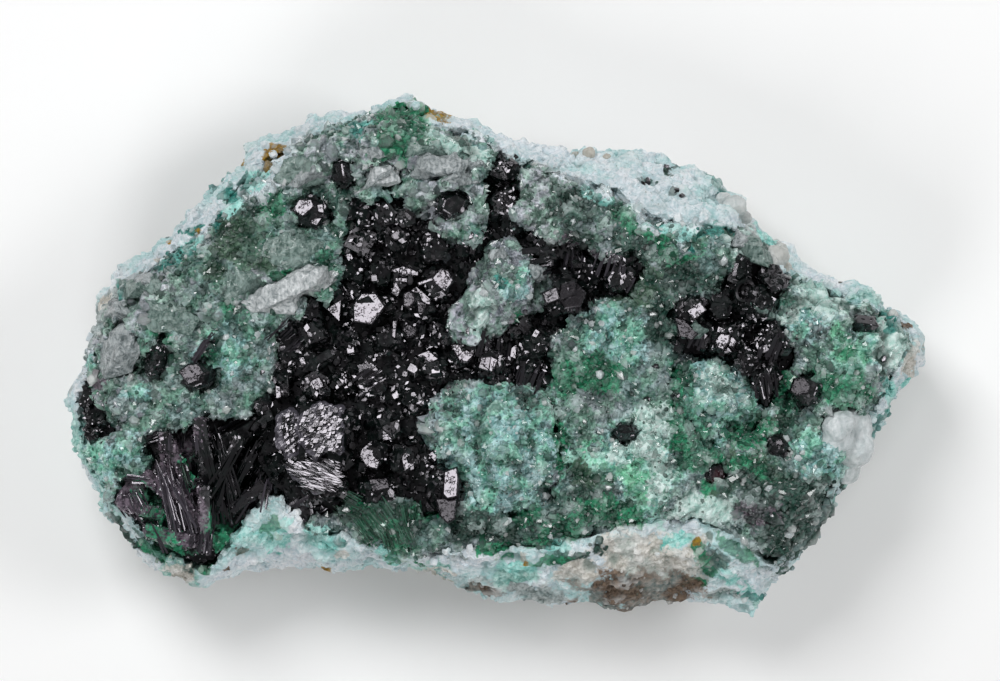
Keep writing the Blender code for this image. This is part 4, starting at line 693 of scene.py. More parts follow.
def model_pattern(sides, radius_across, height, roof):
    """Model one small crystal by hand: a prism whose top is drawn up to the roof's shape."""
    bpy.ops.object.select_all(action="DESELECT")
    bpy.ops.mesh.primitive_cylinder_add(vertices=sides, radius=1.0, depth=1.4, location=(0, 0, -0.7))
    item = bpy.context.object
    bpy.ops.object.transform_apply(location=True, rotation=False, scale=False)
    bpy.ops.object.mode_set(mode="EDIT")
    bpy.ops.mesh.select_all(action="SELECT")
    bpy.ops.transform.resize(value=(1.0, radius_across, 1.0))
    bpy.ops.mesh.select_all(action="DESELECT")
    bpy.ops.object.mode_set(mode="OBJECT")
    for face in item.data.polygons:
        face.select = face.normal.z > 0.9
    bpy.ops.object.mode_set(mode="EDIT")
    bpy.ops.mesh.select_mode(type="FACE")
    along, across, shift = roof
    bpy.ops.mesh.extrude_region_move(TRANSFORM_OT_translate={"value": (shift, 0.3 * shift, height)})
    bpy.ops.transform.resize(value=(along, across, 1.0))
    if along < 0.01:
        bpy.ops.mesh.merge(type="CENTER")
    bpy.ops.object.mode_set(mode="OBJECT")
    corners = np.array([vert.co[:] for vert in item.data.vertices])
    faces = [tuple(face.vertices) for face in item.data.polygons]
    bpy.data.objects.remove(item, do_unlink=True)
    return corners, faces


def unit(vectors):
    """Vectors scaled to length 1."""
    return vectors / np.maximum(np.linalg.norm(vectors, axis=-1, keepdims=True), 1e-9)


def turns_for(axes, rng):
    """Turns that point a crystal's own Z along each axis, spun at random round it."""
    side = unit(np.cross(rng.normal(size=axes.shape), axes))
    return np.stack([side, np.cross(axes, side), axes], axis=2)


def mesh_from_arrays(name, corners, indices, face_sizes):
    """An object from corners in millimetres, its faces' corner numbers and their counts."""
    mesh = bpy.data.meshes.new(name)
    mesh.vertices.add(len(corners))
    mesh.vertices.foreach_set("co", (corners * MM).astype(np.float32).ravel())
    mesh.loops.add(len(indices))
    mesh.loops.foreach_set("vertex_index", indices.astype(np.int32))
    mesh.polygons.add(len(face_sizes))
    starts = np.concatenate([[0], np.cumsum(face_sizes)[:-1]])
    mesh.polygons.foreach_set("loop_start", starts.astype(np.int32))
    mesh.update(calc_edges=True)
    mesh.shade_flat()
    item = bpy.data.objects.new(name, mesh)
    bpy.context.scene.collection.objects.link(item)
    return item


def mesh_from_faces(name, corners, faces):
    """An object from corners in millimetres and the corner numbers of each face."""
    sizes = np.array([len(face) for face in faces])
    flat = np.concatenate([np.array(face) for face in faces])
    return mesh_from_arrays(name, np.array(corners), flat, sizes)


def join_copies(name, patterns, spots, turns, sizes, rng):
    """One mesh of many crystals, each a turned and sized copy of a pattern, and each corner's crystal."""
    kinds = rng.integers(len(patterns), size=len(spots))
    tones = rng.uniform(0.0, 1.0, len(spots))
    corners, indices, face_sizes, tips, owners = [], [], [], [], []
    first = 0
    for kind, (pattern, faces) in enumerate(patterns):
        own = np.flatnonzero(kinds == kind)
        placed = np.einsum("nij,nkj->nki", turns[own], pattern[None] * sizes[own][:, None, :])
        placed += spots[own][:, None, :]
        flat = np.concatenate([np.array(face) for face in faces])
        starts = first + np.arange(len(own)) * len(pattern)
        corners.append(placed.reshape(-1, 3))
        indices.append((flat[None] + starts[:, None]).ravel())
        face_sizes.append(np.tile([len(face) for face in faces], len(own)))
        rise = (pattern[:, 2] - pattern[:, 2].min()) / np.ptp(pattern[:, 2])
        tips.append(np.tile(rise, len(own)))
        owners.append(np.repeat(own, len(pattern)))
        first += len(own) * len(pattern)
    owners = np.concatenate(owners)
    item = mesh_from_arrays(
        name, np.concatenate(corners), np.concatenate(indices), np.concatenate(face_sizes)
    )
    set_attribute(item, "tip", np.concatenate(tips))
    set_attribute(item, "tone", tones[owners])
    return item, owners


def thin_out(points, spacing):
    """Numbers of the points that keep at least the spacing from those kept before them."""
    cells = {}
    kept = []
    around = [(i, j, k) for i in (-1, 0, 1) for j in (-1, 0, 1) for k in (-1, 0, 1)]
    homes = np.floor(points / spacing).astype(int)
    limit = spacing * spacing
    for number, (point, home) in enumerate(zip(points.tolist(), homes.tolist())):
        crowded = False
        for i, j, k in around:
            for x, y, z in cells.get((home[0] + i, home[1] + j, home[2] + k), ()):
                if (x - point[0]) ** 2 + (y - point[1]) ** 2 + (z - point[2]) ** 2 < limit:
                    crowded = True
                    break
            if crowded:
                break
        if not crowded:
            cells.setdefault(tuple(home), []).append(point)
            kept.append(number)
    return kept


def surface_spots(item, spacing, lowest, steepest, rng):
    """Spots spread evenly over the upward surface of a piece, the way it faces there and its relief."""
    mesh = item.data
    mesh.calc_loop_triangles()
    count = len(mesh.loop_triangles)
    numbers = np.empty(count * 3, np.int32)
    mesh.loop_triangles.foreach_get("vertices", numbers)
    numbers = numbers.reshape(-1, 3)
    corners = corners_of(item)[numbers]
    normals = np.cross(corners[:, 1] - corners[:, 0], corners[:, 2] - corners[:, 0])
    areas = np.linalg.norm(normals, axis=1) / 2
    normals = unit(normals)
    usable = (normals[:, 2] > steepest) & (corners[:, :, 2].mean(axis=1) > lowest)
    weights = np.where(usable, areas, 0.0)
    total = weights.sum()
    picks = rng.choice(count, size=int(TRIES * total / spacing ** 2), p=weights / total)
    mix = rng.dirichlet((1, 1, 1), size=len(picks))
    spots = np.einsum("nk,nkj->nj", mix, corners[picks])
    relief = np.zeros(len(mesh.vertices), np.float32)
    if "relief" in mesh.attributes:
        mesh.attributes["relief"].data.foreach_get("value", relief)
    kept = thin_out(spots, spacing)
    return spots[kept], normals[picks][kept], relief[numbers[picks, 0]][kept]


def in_places(points, places):
    """Which points lie in any of the oval places."""
    within = np.zeros(len(points), bool)
    for x, y, *oval in places:
        within |= oval_distance(points[:, 0] - x, points[:, 1] - y, *oval) < 1.0
    return within


def in_outline(points, outline):
    """Which points lie inside a closed outline, seen from above."""
    within = np.zeros(len(points), bool)
    for (ax, ay), (bx, by) in zip(outline, outline[1:] + outline[:1]):
        crosses = (ay > points[:, 1]) != (by > points[:, 1])
        slope = (bx - ax) / (by - ay) if by != ay else 0.0
        within ^= crosses & (points[:, 0] < ax + slope * (points[:, 1] - ay))
    return within


def anticlockwise(outline):
    """An outline whose corners follow each other anticlockwise, seen from above."""
    area = sum(ax * by - bx * ay for (ax, ay), (bx, by) in zip(outline, outline[1:] + outline[:1]))
    return outline if area > 0 else outline[::-1]


def under_faces(points, rows):
    """Which points lie under crystal faces or close beside them, seen from above."""
    within = np.zeros(len(points), bool)
    for outline, _ in rows:
        middle = np.mean(outline, axis=0)
        grown = middle + (np.array(outline) - middle) * 1.2
        within |= in_outline(points, tuple(map(tuple, grown.tolist())))
    return within


def shine_axes(spots, lamp):
    """The way a face at each spot has to look to mirror a lamp to the camera."""
    camera = np.array((VIEW_MIDDLE.x, VIEW_MIDDLE.y, CAMERA_HEIGHT))
    place = np.array(VIEW_MIDDLE + LAMPS[lamp][0] * LAMP_DISTANCE)
    return unit(unit(camera - spots) + unit(place - spots))


def grow_crystals(name, spots, normals, spec, patterns, upright, facing, rng):
    """Small crystals on the given spots, some with their tops towards a lamp."""
    (least, most), length, spread = spec
    count = len(spots)
    axes = unit(normals + upright * np.array([0.0, 0.0, 1.0]) + spread * rng.normal(size=(count, 3)))
    axes[:, 2] = np.abs(axes[:, 2])
    chance = rng.uniform(size=count)
    share = facing * np.clip(3.0 * uneven(spots, FACING_GROUPS, 5) - 1.2, 0.0, 1.0)
    for lamp, low, high in LAMP_PARTS:
        own = (chance >= share * low) & (chance < share * high)
        axes[own] = unit(shine_axes(spots[own], lamp) + FACING_WOBBLE * rng.normal(size=(own.sum(), 3)))
    across = least + (most - least) * rng.uniform(size=count) ** 2.2
    tall = across * length * rng.uniform(0.7, 1.3, count)
    sizes = np.stack([across, across * rng.uniform(0.75, 1.0, count), tall], axis=1)
    return join_copies(name, patterns, spots, turns_for(unit(axes), rng), sizes, rng)


def tree_of(*items):
    """A search tree over the faces of several pieces, in millimetres."""
    corners, faces = [], []
    for item in items:
        first = len(corners)
        corners.extend(map(tuple, corners_of(item).tolist()))
        faces.extend(tuple(first + number for number in face.vertices) for face in item.data.polygons)
    return BVHTree.FromPolygons(corners, faces)


def height_at(tree, x, y, otherwise=None):
    """Height of the highest surface at a place, or the value given for bare places."""
    hit = tree.ray_cast(Vector((x, y, OVERHEAD)), Vector((0, 0, -1)))[0]
    return hit.z if hit else otherwise


def shine_normal(point, lamp, away, draws):
    """The way a face has to look to mirror a lamp to the camera, turned away by some degrees."""
    half = Vector(shine_axes(np.array([point[:]]), lamp)[0])
    heading = draws.uniform(0.0, math.tau)
    side = Vector((math.cos(heading), math.sin(heading), 0.0)) * math.tan(math.radians(away))
    return (half + side).normalized()


def sinking(normal, middle, x, y):
    """How far a tilted face sinks from its middle to a place on it."""
    return (normal.x * (x - middle.x) + normal.y * (y - middle.y)) / normal.z


def add_faceted_crystals(name, rows, tree, draws):
    """Crystals known by the outline of their shining face, each standing on the ground below it."""
    corners, faces = [], []
    for outline, away in rows:
        middle = sum((Vector(corner) for corner in outline), Vector((0.0, 0.0))) / len(outline)
        normal = shine_normal(Vector((middle.x, middle.y, FACE_HEIGHT)), "key_lamp", away, draws)
        top = FACE_RISE + max(
            height_at(tree, x, y, BARE_CLUSTER) + sinking(normal, middle, x, y)
            for x, y in [*outline, tuple(middle)]
        )
        ring = [Vector(corner) for corner in anticlockwise(outline)]
        first, count = len(corners), len(ring)
        # Three rings of corners: round the face, under its bevel and at the foot of the crystal
        for grow, drop in ((0.0, 0.0), (FACE_BEVEL, 0.8 * FACE_BEVEL), (1.6 * FACE_BEVEL, FACE_DEPTH)):
            for index, corner in enumerate(ring):
                before = (corner - ring[index - 1]).normalized()
                after = (ring[(index + 1) % count] - corner).normalized()
                out = Vector((before.y + after.y, -before.x - after.x))
                place = corner + out.normalized() * grow
                corners.append((place.x, place.y, top - sinking(normal, middle, place.x, place.y) - drop))
        faces.append(list(range(first, first + count)))
        for high in (first, first + count):
            low = high + count
            for index in range(count):
                after = (index + 1) % count
                faces.append([high + after, high + index, low + index, low + after])
        faces.append([first + 2 * count + index for index in reversed(range(count))])
    return mesh_from_faces(name, corners, faces)


def lay_plates(name, rows, tree, pattern, rng, draws):
    """Small flat facets, each turned so that it nearly mirrors a lamp."""
    spots, turns, sizes = [], [], []
    for x, y, across, stretch, heading, lamp, wobble, lift in rows:
        top = height_at(tree, x, y)
        if top is None:
            continue
        place = Vector((x, y, top + lift))
        normal = shine_normal(place, lamp, abs(draws.gauss(0.0, wobble)), draws)
        angle = math.radians(heading)
        side = Vector((math.cos(angle), math.sin(angle), 0.0)).cross(normal).normalized()
        forward = normal.cross(side).normalized()
        spots.append(place)
        turns.append([[forward[axis], -side[axis], normal[axis]] for axis in range(3)])
        sizes.append((across * stretch, across, 0.5 * across))
    return join_copies(name, [pattern], np.array(spots), np.array(turns), np.array(sizes), rng)[0]


def etched_rows(outline, spacing, stretch, heading, wobble, draws):
    """Rows of overlapping scales that fill an outline."""
    xs = [corner[0] for corner in outline]
    ys = [corner[1] for corner in outline]
    count = int((max(xs) - min(xs)) * (max(ys) - min(ys)) / spacing ** 2 * 1.2)
    places = np.array([
        (draws.uniform(min(xs), max(xs)), draws.uniform(min(ys), max(ys))) for _ in range(count)
    ])
    for x, y in places[in_outline(places, outline)].tolist():
        across = spacing * draws.uniform(0.45, 1.15)
        turn = heading + draws.gauss(0.0, 9.0)
        yield x, y, across, stretch, turn, "key_lamp", wobble, draws.uniform(0.0, 0.22)


def glint_rows(zones, draws):
    """Rows of small facets scattered over oval places."""
    for x, y, half_length, half_width, heading, count, least, most in zones:
        angle = math.radians(heading)
        for _ in range(count):
            reach, turn = math.sqrt(draws.random()), draws.uniform(0.0, math.tau)
            along, across = half_length * reach * math.cos(turn), half_width * reach * math.sin(turn)
            lamp = draws.choice(("key_lamp", "key_lamp", "right_lamp", "front_lamp"))
            yield (x + along * math.cos(angle) - across * math.sin(angle),
                   y + along * math.sin(angle) + across * math.cos(angle),
                   draws.uniform(least, most), draws.uniform(0.9, 2.2), draws.uniform(0.0, 180.0),
                   lamp, 11.0, draws.uniform(0.02, 0.10))


def add_blades(name, rows, tree, pattern, rng, draws):
    """Bundles of long thin blades, side by side, each bundle leaning its own way."""
    spots, turns, sizes, mauve = [], [], [], []
    for x, y, length, width, count, heading, rise, least, most, tone in rows:
        for _ in range(count):
            angle = math.radians(heading + draws.gauss(0.0, 5.0))
            lift = math.radians(rise + draws.gauss(0.0, 4.0))
            level = math.cos(lift)
            forward = Vector((math.cos(angle) * level, math.sin(angle) * level, math.sin(lift)))
            offset = draws.uniform(-0.5, 0.5) * width
            shift = draws.uniform(-0.2, 0.2) * length
            sx = x - math.sin(angle) * offset + math.cos(angle) * shift
            sy = y + math.cos(angle) * offset + math.sin(angle) * shift
            height = height_at(tree, sx, sy, BARE_CRUST) + draws.uniform(-0.1, 0.3)
            roll = draws.gauss(0.0, 0.7)
            side = forward.cross(Vector((0.4 * math.sin(roll), 0.3 * math.sin(roll), 1.0))).normalized()
            normal = side.cross(forward).normalized()
            spots.append((sx, sy, height))
            turns.append([[side[axis], normal[axis], forward[axis]] for axis in range(3)])
            half = draws.uniform(least, most)
            sizes.append((half, 0.6 * half, length * draws.uniform(0.30, 0.52)))
            mauve.append(tone * draws.uniform(0.5, 1.0))
    item, owners = join_copies(name, [pattern], np.array(spots), np.array(turns), np.array(sizes), rng)
    set_attribute(item, "mauve_tone", np.array(mauve)[owners])
    return item


def add_shards(name, rows, tree, base=None):
    """Clear broken crystals: each outline is drawn up to a top by flat faces, round a solid or alone."""
    corners, faces = [], []
    for outline, top, rise in rows:
        ring = anticlockwise(outline)
        heights = [height_at(tree, x, y, BARE_CRUST) for x, y in ring]
        first, count = len(corners), len(ring)
        corners.extend((x, y, height + 0.22) for (x, y), height in zip(ring, heights))
        corners.extend((x, y, min(heights) - 0.8) for x, y in ring)
        corners.append((*top, max(heights) + rise))
        for index in range(count):
            after = (index + 1) % count
            faces.append((first + index, first + after, first + 2 * count))
            faces.append((first + after, first + index, first + count + index, first + count + after))
        faces.append(tuple(first + count + index for index in reversed(range(count))))
    item = base
    if rows:
        shards = mesh_from_faces(name, corners, faces)
        item = join_items([base, shards], name) if base else shards
    break_up(item)
    return item


def add_knobs(name, rows, tree, base=None):
    """Rounded knobs of quartz grown into each other."""
    parts = [base] if base else []
    for x, y, radius, _ in rows:
        height = height_at(tree, x, y)
        if height is None:
            height = height_at(tree, 0.94 * x, 0.94 * y, 12.0) - 0.6
        bpy.ops.object.select_all(action="DESELECT")
        bpy.ops.mesh.primitive_ico_sphere_add(
            subdivisions=3, radius=radius * MM, location=(x * MM, y * MM, (height + 0.05 * radius) * MM)
        )
        part = bpy.context.object
        part.scale = (1.0, 0.9, 0.7)
        bpy.ops.object.transform_apply(location=True, rotation=False, scale=True)
        parts.append(part)
    item = join_items(parts, name)
    remesh(item, CLEAR_VOXEL)
    apply_modifier(item, "SMOOTH", factor=0.6, iterations=20)
    push_steps(item, KNOB_STEPS)
    points = corners_of(item)
    warm = np.zeros(len(points))
    for x, y, radius, warmth in rows:
        near = np.hypot(points[:, 0] - x, points[:, 1] - y) < 1.3 * radius
        warm[near] = np.maximum(warm[near], warmth)
    set_attribute(item, "warm", warm)
    return item


def add_ringed_crystals(name, rows, tree):
    """Rounded crystals seen end on, whose growth shows as raised rings one inside another."""
    parts = []
    for x, y, radius, squash, heading, rings in rows:
        height = height_at(tree, x, y, BARE_CLUSTER) + 0.15
        for ring in range(rings):
            major = radius * (ring + 0.55) / rings
            bpy.ops.object.select_all(action="DESELECT")
            bpy.ops.mesh.primitive_torus_add(
                major_segments=18, minor_segments=5, major_radius=major * MM,
                minor_radius=0.36 * radius / rings * MM,
                location=(x * MM, y * MM, (height + 0.12 * (rings - ring)) * MM),
            )
            part = bpy.context.object
            part.scale = (1.0, squash, 1.0)
            part.rotation_euler = (0.10, -0.06, math.radians(heading))
            bpy.ops.object.transform_apply(location=True, rotation=True, scale=True)
            parts.append(part)
    item = join_items(parts, name)
    item.data.shade_flat()
    return item


def colour(red, green, blue):
    """A colour given as it looks on a screen, 0 to 255, in the values that shaders use."""
    return tuple((part / 255.0) ** 2.2 for part in (red, green, blue)) + (1.0,)


class Shading:
    """Short ways to place and join the nodes of one tree."""

    def __init__(self, tree):
        self.tree = tree

    def feed(self, node, inputs):
        """Feed a node's inputs with values or with other nodes' outputs."""
        for key, value in inputs.items():
            if isinstance(value, bpy.types.NodeSocket):
                self.tree.links.new(value, node.inputs[key])
            else:
                node.inputs[key].default_value = value

    def add(self, kind, inputs=None, **settings):
        """Place a node, set it and feed its inputs."""
        node = self.tree.nodes.new(kind)
        for setting, value in settings.items():
            setattr(node, setting, value)
        self.feed(node, inputs or {})
        return node

    def noise(self, size, detail, roughness=0.55, stretch=None, distortion=0.0):
        """Noise with lumps of a size in millimetres, on the object's own place."""
        place = self.add("ShaderNodeTexCoord").outputs["Object"]
        if stretch:
            place = self.add("ShaderNodeMapping", {"Vector": place, "Scale": stretch}).outputs["Vector"]
        values = {"Vector": place, "Scale": 1.0 / (size * MM), "Detail": detail, "Roughness": roughness,
                  "Distortion": distortion}
        return self.add("ShaderNodeTexNoise", values).outputs["Fac"]

    def attribute(self, name):
        """A number stored on the mesh."""
        return self.add("ShaderNodeAttribute", attribute_name=name).outputs["Fac"]

    def math(self, operation, first, second):
        """Two numbers put together."""
        node = self.add("ShaderNodeMath", {0: first, 1: second}, operation=operation)
        return node.outputs[0]

    def between(self, value, low, high, start=0.0, end=1.0):
        """A number stretched from one range to another, with soft ends."""
        values = {"Value": value, "From Min": low, "From Max": high, "To Min": start, "To Max": end}
        return self.add("ShaderNodeMapRange", values, interpolation_type="SMOOTHSTEP").outputs["Result"]

    def mix(self, factor, first, second, blend="MIX"):
        """Two colours mixed."""
        values = {0: factor, 6: first, 7: second}
        return self.add("ShaderNodeMix", values, data_type="RGBA", blend_type=blend).outputs[2]

    def bump(self, shader, height, strength, distance):
        """Let a height raise and sink the surface."""
        values = {"Height": height, "Strength": strength, "Distance": distance * MM}
        self.feed(shader, {"Normal": self.add("ShaderNodeBump", values).outputs["Normal"]})


def make_group(name, inputs, outputs):
    """An empty shader group with named sockets, and its input and output nodes."""
    group = bpy.data.node_groups.new(name, "ShaderNodeTree")
    for direction, sockets in (("INPUT", inputs), ("OUTPUT", outputs)):
        for socket, kind in sockets:
            group.interface.new_socket(socket, in_out=direction, socket_type="NodeSocket" + kind)
    shading = Shading(group)
    return group, shading, shading.add("NodeGroupInput"), shading.add("NodeGroupOutput")


# What the mottle group puts out and each stain takes in
MOTTLE_SOCKETS = (("Edge", "Float"), ("Mottle", "Float"), ("Cloud", "Float"))


def build_stain_group():
    """Lays one stain over a colour, broken up at its edge and mottled inside."""
    inputs = (("Colour", "Color"), ("Light", "Color"), ("Dark", "Color"), ("Amount", "Float"))
    group, shading, start, end = make_group("stain", inputs + MOTTLE_SOCKETS, (("Colour", "Color"),))
    spread = shading.math("ADD", start.outputs["Amount"], start.outputs["Edge"])
    present = shading.between(start.outputs["Amount"], 0.05, 0.25)
    strength = shading.math("MULTIPLY", shading.between(spread, 0.36, 0.66), present)
    clouded = shading.between(start.outputs["Cloud"], 0.0, 0.7, 0.72, 1.0)
    covering = shading.math("MULTIPLY", strength, clouded)
    paint = shading.mix(start.outputs["Mottle"], start.outputs["Dark"], start.outputs["Light"])
    result = shading.mix(covering, start.outputs["Colour"], paint)
    group.links.new(result, end.inputs["Colour"])
    return group


def build_mottle_group():
    """Uneven edges for stains and mottling at three sizes."""
    group, shading, _, end = make_group("mottle", (), MOTTLE_SOCKETS)
    broad = shading.noise(1.3, 5.0, 0.65)
    fine = shading.noise(0.34, 3.0, 0.6)
    cloud = shading.noise(4.0, 4.0, 0.6)
    edge = shading.math("ADD", shading.math("MULTIPLY", broad, 1.1), shading.math("MULTIPLY", fine, 0.7))
    both = shading.math("ADD", shading.math("MULTIPLY", broad, 0.45), shading.math("MULTIPLY", fine, 0.55))
    group.links.new(shading.math("SUBTRACT", edge, 0.9), end.inputs["Edge"])
    group.links.new(shading.between(both, 0.38, 0.62), end.inputs["Mottle"])
    group.links.new(shading.between(cloud, 0.36, 0.64), end.inputs["Cloud"])
    return group


# Light and dark colour of each stain
STAIN_PAINTS = {
    "grey": (colour(194, 204, 204), colour(104, 118, 116)),
    "mint": (colour(182, 225, 216), colour(98, 157, 148)),
    "spring": (colour(180, 233, 210), colour(96, 172, 142)),
    "pale": (colour(224, 240, 236), colour(164, 206, 196)),
    "white": (colour(236, 241, 246), colour(190, 210, 216)),
    "turquoise": (colour(190, 238, 232), colour(112, 196, 186)),
    "beige": (colour(230, 228, 222), colour(178, 174, 164)),
    "olive": (colour(84, 114, 94), colour(38, 66, 50)),
    "dark": (colour(64, 98, 88), colour(12, 32, 28)),
    "mauve": (colour(124, 112, 124), colour(36, 32, 40)),
    "teal": (colour(76, 156, 146), colour(12, 88, 82)),
    "green": (colour(52, 148, 108), colour(4, 72, 50)),
    "brown": (colour(128, 110, 94), colour(66, 53, 42)),
    "ochre": (colour(170, 134, 40), colour(112, 84, 16)),
}
# Tints that the quartz crusts drift between
GREENER = (0.76, 1.01, 0.86, 1.0)
BLUER = (1.17, 1.07, 1.19, 1.0)

# How strongly the minerals bend light, and the tint of the black crystals' shine
QUARTZ_IOR = 1.544
ATACAMITE_IOR = 1.85
SHINE_TINT = (0.97, 0.92, 1.0, 1.0)

# Black crystals: lighter colour, least and most roughness, bump, strength of shine, stains
BLACK = colour(8, 10, 11)
DARK_GREEN = colour(20, 28, 26)
# atacamite_grown and atacamite_fan_ground shine weakly so the bodies between the small crystals stay dark:
# painted shade in the gaps
ATACAMITE_FINISHES = {
    "atacamite_grown": (DARK_GREEN, (0.3, 0.5), 0.35, 0.15, ()),
    "atacamite": (DARK_GREEN, (0.14, 0.32), 0.25, 0.5, ()),
    "atacamite_fan": (DARK_GREEN, (0.2, 0.4), 0.3, 0.5, ("mauve", "green")),
    "atacamite_fan_ground": (DARK_GREEN, (0.3, 0.5), 0.4, 0.15, ("mauve", "green")),
    "atacamite_blade": (colour(16, 24, 22), (0.06, 0.18), 0.1, 0.5, ()),
    "atacamite_red": (colour(44, 12, 16), (0.12, 0.28), 0.2, 0.5, ()),
}
# Clear pieces: dark and light colour, how much light passes through, size of the veils inside
CLEAR_FINISHES = {
    "clear_quartz": (colour(186, 198, 200), colour(234, 240, 242), 0.2, 1.0),
    "milky_quartz": (colour(136, 146, 148), colour(232, 236, 238), 0.2, 0.5),
    "veiled_quartz": (colour(92, 104, 106), colour(204, 211, 213), 0.25, 0.5),
    "greenish_quartz": (colour(58, 88, 80), colour(160, 182, 176), 0.3, 0.5),
}
# The clear solids of the frame and what each is made of
CLEAR_NODES = {
    "calcite_plate_left": "veiled_quartz", "quartz_blade_upper_left": "milky_quartz",
    "quartz_ridge_top": "veiled_quartz", "quartz_block_top": "milky_quartz",
}


def new_material(name, values):
    """A material, its Principled shader with the values given, and a way to add nodes."""
    material = bpy.data.materials.new(name)
    material.use_nodes = True
    shader = material.node_tree.nodes["Principled BSDF"]
    shading = Shading(material.node_tree)
    shading.feed(shader, values)
    return material, shader, shading


def stained_colour(shading, base, mottle, stains):
    """The base colour with each stain laid over it in turn."""
    surface = base
    for name in stains:
        light, dark = STAIN_PAINTS[name]
        values = {"Colour": surface, "Light": light, "Dark": dark, "Amount": shading.attribute(name)}
        values.update((key, mottle.outputs[key]) for key, _ in MOTTLE_SOCKETS)
        surface = shading.add("ShaderNodeGroup", values, node_tree=GROUPS["stain"]).outputs["Colour"]
    return surface


def make_rock_material():
    """Pale blue-white rind on brownish copper-stained rock, with painted shade in its hollows and painted
    highlights on its raised lumps.
    """
    material, shader, shading = new_material("copper_stained_rock", {"Roughness": 0.8})
    mottle = shading.add("ShaderNodeGroup", node_tree=GROUPS["mottle"])
    white = shading.mix(mottle.outputs["Mottle"], colour(202, 216, 224), colour(240, 243, 247))
    blue = shading.mix(mottle.outputs["Mottle"], colour(166, 208, 208), colour(214, 234, 236))
    rind = shading.mix(mottle.outputs["Cloud"], blue, white)
    rock = shading.mix(mottle.outputs["Mottle"], colour(80, 78, 68), colour(140, 136, 124))
    height = shading.math("ADD", shading.attribute("rind"), mottle.outputs["Edge"])
    base = shading.mix(shading.between(height, 0.4, 0.6), rock, rind)
    surface = stained_colour(
        shading, base, mottle,
        ("grey", "mint", "spring", "turquoise", "white", "beige", "dark", "teal", "green", "brown",
         "ochre"),
    )
    # Painted shade: grey-green where the surface lies sunk; painted highlight: near white where it stands
    # out
    relief = shading.attribute("relief")
    painted_hollow_shade = shading.mix(shading.between(relief, -0.5, -2.2, 0.0, 0.45), surface, colour(82, 128, 120))
    raised = shading.mix(shading.between(relief, 0.6, 2.2, 0.0, 0.35), painted_hollow_shade, colour(244, 246, 246))
    specks = shading.between(shading.noise(0.3, 3.0, 0.6), 0.62, 0.70, 0.0, 0.5)
    speckled = shading.mix(specks, raised, colour(96, 118, 106))
    shading.feed(shader, {"Base Color": speckled})
    shading.bump(shader, shading.noise(0.5, 6.0, 0.7), 0.8, 0.30)
    return material


def make_druse_material(name, transmission):
    """Stained quartz: solid for the ground, partly see-through for the crystals that stand on it, with
    painted shade in hollows and painted highlights on raised lumps.
    """
    roughness = 0.10 if transmission else 0.35
    material, shader, shading = new_material(
        name, {"Roughness": roughness, "Transmission Weight": transmission, "IOR": QUARTZ_IOR}
    )
    mottle = shading.add("ShaderNodeGroup", node_tree=GROUPS["mottle"])
    green = shading.mix(mottle.outputs["Mottle"], colour(36, 88, 74), colour(124, 166, 154))
    grey = shading.mix(mottle.outputs["Mottle"], colour(62, 84, 80), colour(156, 172, 168))
    plain = shading.mix(mottle.outputs["Cloud"], green, grey)
    milky = shading.mix(mottle.outputs["Mottle"], colour(116, 126, 130), colour(196, 202, 206))
    base = shading.mix(shading.attribute("paleness"), plain, milky)
    surface = stained_colour(shading, base, mottle, ("grey", "mint", "spring"))
    hue = shading.between(shading.noise(1.5, 4.0, 0.65), 0.43, 0.57)
    surface = shading.mix(1.0, surface, shading.mix(hue, GREENER, BLUER), blend="MULTIPLY")
    surface = stained_colour(
        shading, surface, mottle,
        ("pale", "white", "olive", "dark", "mauve", "turquoise", "teal", "green", "ochre"),
    )
    # Painted shade: dark green where the ground lies sunk; painted highlight: paler where it stands out
    relief = shading.attribute("relief")
    surface = shading.mix(shading.between(relief, -0.1, -1.8, 0.0, 0.75), surface, colour(18, 56, 44))
    surface = shading.mix(shading.between(relief, 0.5, 2.0, 0.0, 0.4), surface, colour(206, 222, 220))
    if transmission:
        tip = shading.attribute("tip")
        tone = shading.attribute("tone")
        surface = shading.mix(shading.between(tip, 0.4, 1.0, 0.0, 0.2), surface, colour(214, 228, 226))
        surface = shading.mix(shading.between(tone, 0.22, 0.0, 0.0, 0.7), surface, colour(16, 54, 42))
        bright = shading.math("MULTIPLY", shading.between(tone, 0.91, 0.98, 0.0, 0.75),
                              shading.between(tip, 0.0, 0.7, 0.3, 1.0))
        surface = shading.mix(bright, surface, colour(236, 240, 240))
    else:
        shading.bump(shader, shading.noise(0.3, 4.0, 0.65), 0.7, 0.15)
    shading.feed(shader, {"Base Color": surface})
    return material


def make_atacamite_material(name, light, rough, bump, shine, stains):
    """Nearly black, dark green crystal with a bright, glassy shine."""
    material, shader, shading = new_material(
        name, {"IOR": ATACAMITE_IOR, "Specular Tint": SHINE_TINT, "Specular IOR Level": shine}
    )
    surface = shading.mix(shading.between(shading.noise(1.1, 4.0), 0.4, 0.65), BLACK, light)
    surface = shading.mix(shading.attribute("mauve_tone"), surface, colour(72, 68, 76))
    if stains:
        mottle = shading.add("ShaderNodeGroup", node_tree=GROUPS["mottle"])
        surface = stained_colour(shading, surface, mottle, stains)
    roughness = shading.between(shading.noise(0.5, 3.0), 0.35, 0.7, *rough)
    shading.feed(shader, {"Base Color": surface, "Roughness": roughness})
    shading.bump(shader, shading.noise(0.22, 3.0, 0.6), bump, 0.05)
    return material


